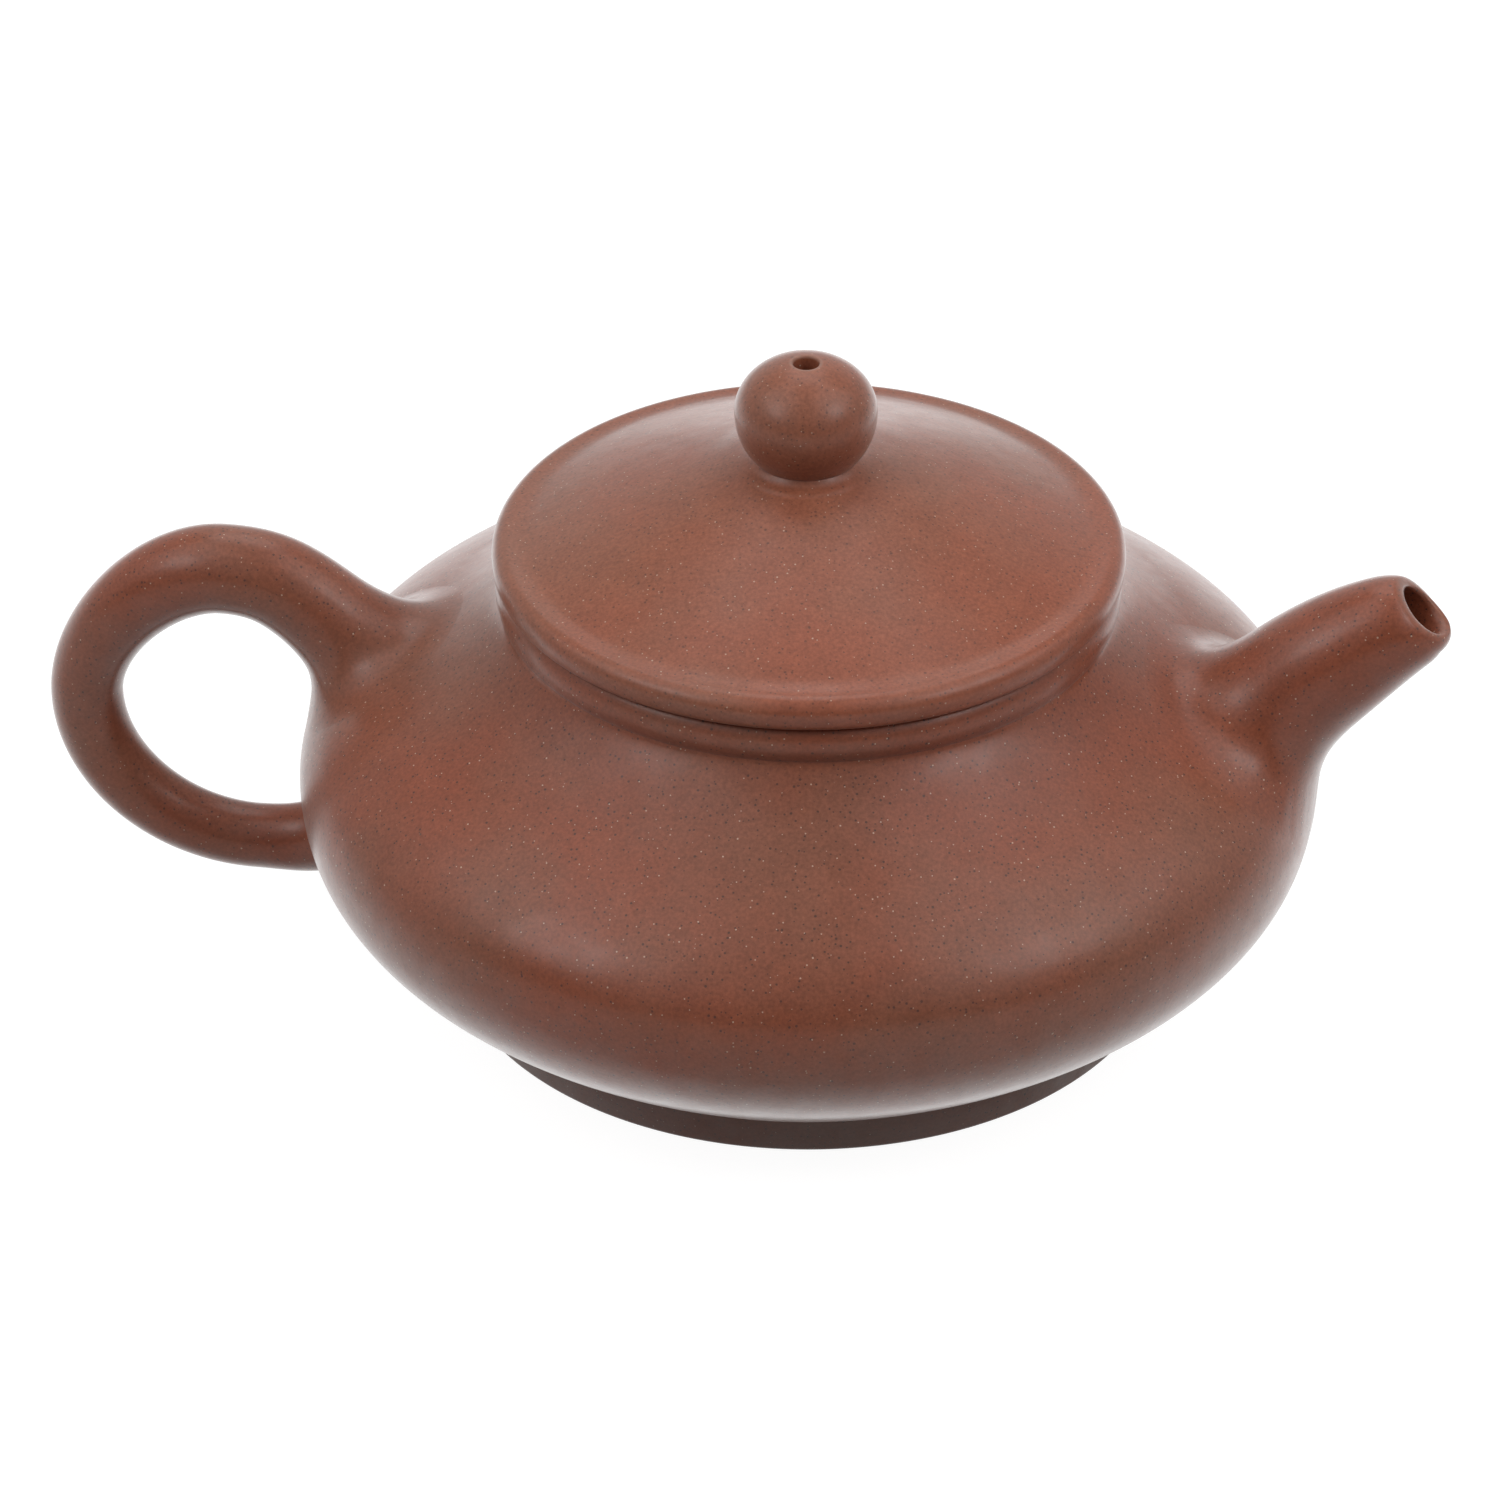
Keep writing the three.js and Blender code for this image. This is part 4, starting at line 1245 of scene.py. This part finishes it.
def clay(name, red_clay, grey_clay, roughness, brushing, pale_sand, dark_sand, bump):
    """A clay between two colours: the group's pattern on a Principled skin with a coat."""
    material, nodes = empty_material(name)
    pattern = nodes.add("ShaderNodeGroup", node_tree=fired_clay)
    values = {
        "Red clay": red_clay,
        "Grey clay": grey_clay,
        "Roughness": roughness,
        "Brushing": brushing,
        "Pale sand": pale_sand,
        "Dark sand": dark_sand,
    }
    nodes.feed_all(pattern, values)
    facing = nodes.add("ShaderNodeLayerWeight").outputs["Facing"]
    coat = nodes.remap(facing, FACING_FROM, FACING_TO, COAT_FACING, COAT_EDGE)
    coat = nodes.calculate("MULTIPLY", coat, pattern.outputs["Burnished"])
    relief = nodes.add("ShaderNodeBump")
    height = pattern.outputs["Height"]
    nodes.feed_all(relief, {"Strength": bump, "Distance": BUMP_DISTANCE, "Height": height})
    skin = nodes.add("ShaderNodeBsdfPrincipled")
    nodes.feed_all(skin, SKIN_VALUES)
    nodes.feed(skin.inputs["Base Color"], pattern.outputs["Color"])
    nodes.feed(skin.inputs["Roughness"], pattern.outputs["Roughness"])
    nodes.feed(skin.inputs["Coat Weight"], coat)
    nodes.feed(skin.inputs["Normal"], relief.outputs["Normal"])
    sheet = nodes.add("ShaderNodeOutputMaterial")
    nodes.feed(sheet.inputs["Surface"], skin.outputs[0])
    return material


body_colours = srgb(135, 71, 48), srgb(129, 78, 58)
lid_colours = srgb(142, 78, 55), srgb(136, 84, 63)
inner_colours = srgb(110, 66, 52), srgb(106, 72, 60)
CLAYS = {
    "body_clay": clay("body_clay", *body_colours, 0.44, 0.35, 0.8, 0.7, 0.6),
    "lid_clay": clay("lid_clay", *lid_colours, 0.44, 0.35, 0.65, 0.5, 0.6),
    "inner_clay": clay("inner_clay", *inner_colours, 0.62, 0.9, 0.6, 0.5, 0.8),
}
for piece in (wall, spout, handle, base, foot, neck, dome, lid, flange, knob):
    piece.data.materials.clear()
    piece.data.materials.append(CLAYS[piece["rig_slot"]])

# %% [markdown]
# ## Table and surround
# The portrait is taken on a white table in front of a white backdrop. Enough light to turn them
# white would wash out the clay. So the table is a mid grey board that takes the pot's shadow, and
# to the camera and in reflections it glows by itself as well, which the Light Path node can tell
# apart. The backdrop curves round behind the pot, where the clay's burnished edges mirror it.

# %% The table
VIEW_TURN = 7.8  # degrees from straight on, round towards the spout
TABLE_TINT, TABLE_REACH = 0.22, 3
GLOW_SEEN, GLOW_MIRRORED = 0.93, 1.0  # the table's own glow, to the camera and in reflections


def table():
    """A large level board at the height of the pot's foot."""
    far = TABLE_REACH
    corners = [(-far, -far, 0), (far, -far, 0), (far, far, 0), (-far, far, 0)]
    mesh = bpy.data.meshes.new("table")
    mesh.from_pydata(corners, [], [(0, 1, 2, 3)])
    material, nodes = empty_material("white_table")
    matt = nodes.add("ShaderNodeBsdfDiffuse")
    matt.inputs["Color"].default_value = (TABLE_TINT, TABLE_TINT, TABLE_TINT, 1)
    ray = nodes.add("ShaderNodeLightPath").outputs
    mirrored = nodes.calculate("MULTIPLY", ray["Is Glossy Ray"], GLOW_MIRRORED)
    strength = nodes.calculate("MULTIPLY_ADD", ray["Is Camera Ray"], GLOW_SEEN, mirrored)
    glow = nodes.add("ShaderNodeEmission")
    nodes.feed(glow.inputs["Strength"], strength)
    both = nodes.add("ShaderNodeAddShader")
    nodes.feed(both.inputs[0], matt.outputs[0])
    nodes.feed(both.inputs[1], glow.outputs[0])
    sheet = nodes.add("ShaderNodeOutputMaterial")
    nodes.feed(sheet.inputs["Surface"], both.outputs[0])
    mesh.materials.append(material)
    return link("table", mesh)


table()
print(f"table: {2 * TABLE_REACH} m square, grey {TABLE_TINT}")

# %% World and backdrop
WORLD_LIGHT = 0.02
BACKDROP_DISTANCE, BACKDROP_HEIGHT, BACKDROP_SPREAD = 1.2, 1.1, 105  # metres, metres, degrees
BACKDROP_GLOW = 0.6
BACKDROP_POSTS = 33


def camera_white(nodes, strength):
    """A strength for light that falls on the clay, and 1, plain white, for what the camera sees."""
    ray = nodes.add("ShaderNodeLightPath").outputs
    return nodes.remap(ray["Is Camera Ray"], 0.0, 1.0, strength, 1.0)


def white_world(light):
    """A surround that the camera sees at full white, and that lights the clay much less."""
    world = bpy.data.worlds.new("white_surround")
    bpy.context.scene.world = world
    world.use_nodes = True
    world.node_tree.nodes.clear()
    nodes = Nodes(world.node_tree)
    sky = nodes.add("ShaderNodeBackground")
    nodes.feed(sky.inputs["Strength"], camera_white(nodes, light))
    sheet = nodes.add("ShaderNodeOutputWorld")
    nodes.feed(sheet.inputs["Surface"], sky.outputs[0])


def backdrop(distance, spread, height, strength):
    """A glowing white wall that curves round the back of the pot: distance (cos a, sin a) for
    bearings a up to the spread on both sides of straight back."""
    a = np.radians(90 + VIEW_TURN + np.linspace(-spread, spread, BACKDROP_POSTS))
    feet = np.stack([distance * np.cos(a), distance * np.sin(a), 0 * a], 1)
    corners = np.concatenate([feet, feet + [0, 0, height]]).tolist()
    last = len(feet)
    faces = [(k, k + 1, last + k + 1, last + k) for k in range(last - 1)]
    mesh = bpy.data.meshes.new("backdrop")
    mesh.from_pydata(corners, [], faces)
    material, nodes = empty_material("white_backdrop")
    glow = nodes.add("ShaderNodeEmission")
    nodes.feed(glow.inputs["Strength"], camera_white(nodes, strength))
    sheet = nodes.add("ShaderNodeOutputMaterial")
    nodes.feed(sheet.inputs["Surface"], glow.outputs[0])
    mesh.materials.append(material)
    return link("backdrop", mesh)


white_world(WORLD_LIGHT)
backdrop(BACKDROP_DISTANCE, BACKDROP_SPREAD, BACKDROP_HEIGHT, BACKDROP_GLOW)
print(f"backdrop: {2 * BACKDROP_SPREAD} degrees round the pot, {BACKDROP_DISTANCE} m away")

# %% [markdown]
# ## Light
# Two wide soft boxes stand high at the left and the right. Two smaller lamps, lower and further
# forward, put the pair of soft glints on the knob. Two weak fills open the front, and one lamp
# behind lights the far shoulder and parts the lid from the white. One strong lamp would be
# simpler, but it would leave half of the belly dark and a hard shadow on the table.

# %% Lamps
LAMP_DISTANCE = 0.9  # metres from the pot's middle
centre = Vector((AXIS_X, 0, 30)) * METRES


def lamp(name, bearing, elevation, size, power):
    """A square soft lamp that faces the pot from a bearing, counted from the camera's side."""
    a, e = math.radians(bearing + VIEW_TURN), math.radians(elevation)
    away = Vector((math.sin(a) * math.cos(e), -math.cos(a) * math.cos(e), math.sin(e)))
    light = bpy.data.lights.new(name, "AREA")
    light.size = size
    light.energy = power
    holder = link(name, light)
    holder.location = centre + away * LAMP_DISTANCE
    holder.rotation_euler = away.to_track_quat("Z", "Y").to_euler()


# name, bearing and elevation in degrees, size in metres, power in watts
LAMPS = [
    ("left_softbox", -80, 57, 0.7, 2.3),
    ("right_softbox", 80, 57, 0.7, 2.5),
    ("left_key", -60, 40, 0.35, 1.4),
    ("right_key", 60, 40, 0.35, 1.5),
    ("left_fill", -32, 34, 0.6, 0.5),
    ("right_fill", 32, 34, 0.6, 0.5),
    ("back", 180, 60, 0.5, 2.0),
]
for settings in LAMPS:
    lamp(*settings)
print(f"{len(LAMPS)} lamps, {sum(settings[-1] for settings in LAMPS):.1f} W in all")

# %% [markdown]
# ## The camera
# A long lens from above the rim, looking down at a third of a right angle, a few degrees round
# from square on. The picture is square, so the sensor's width alone sets how large the pot is.
# The camera could be aimed with a Track To constraint, but its three directions are quickly
# worked out, and a plain matrix leaves nothing that acts later.

# %% Camera
ELEVATION = 32.84
DISTANCE = 800.0
LENS_MM, SENSOR_MM = 185.5, 36.0
LOOK_AT = Vector((AXIS_X - 5.94, -0.81, 24.35))

turn, lift = math.radians(VIEW_TURN), math.radians(ELEVATION)
right = Vector((math.cos(turn), math.sin(turn), 0))
back = Vector((math.sin(turn) * math.cos(lift), -math.cos(turn) * math.cos(lift), math.sin(lift)))
up = back.cross(right)
lens = bpy.data.cameras.new("camera")
lens.lens, lens.sensor_width = LENS_MM, SENSOR_MM
camera = link("camera", lens)
spot = (LOOK_AT + back * DISTANCE) * METRES
camera.matrix_world = Matrix.Translation(spot) @ Matrix(
    [[right[k], up[k], back[k]] for k in range(3)]
).to_4x4()
bpy.context.scene.camera = camera
bpy.context.scene.view_settings.view_transform = "Standard"
print(f"camera at {tuple(round(v, 3) for v in spot)} m")
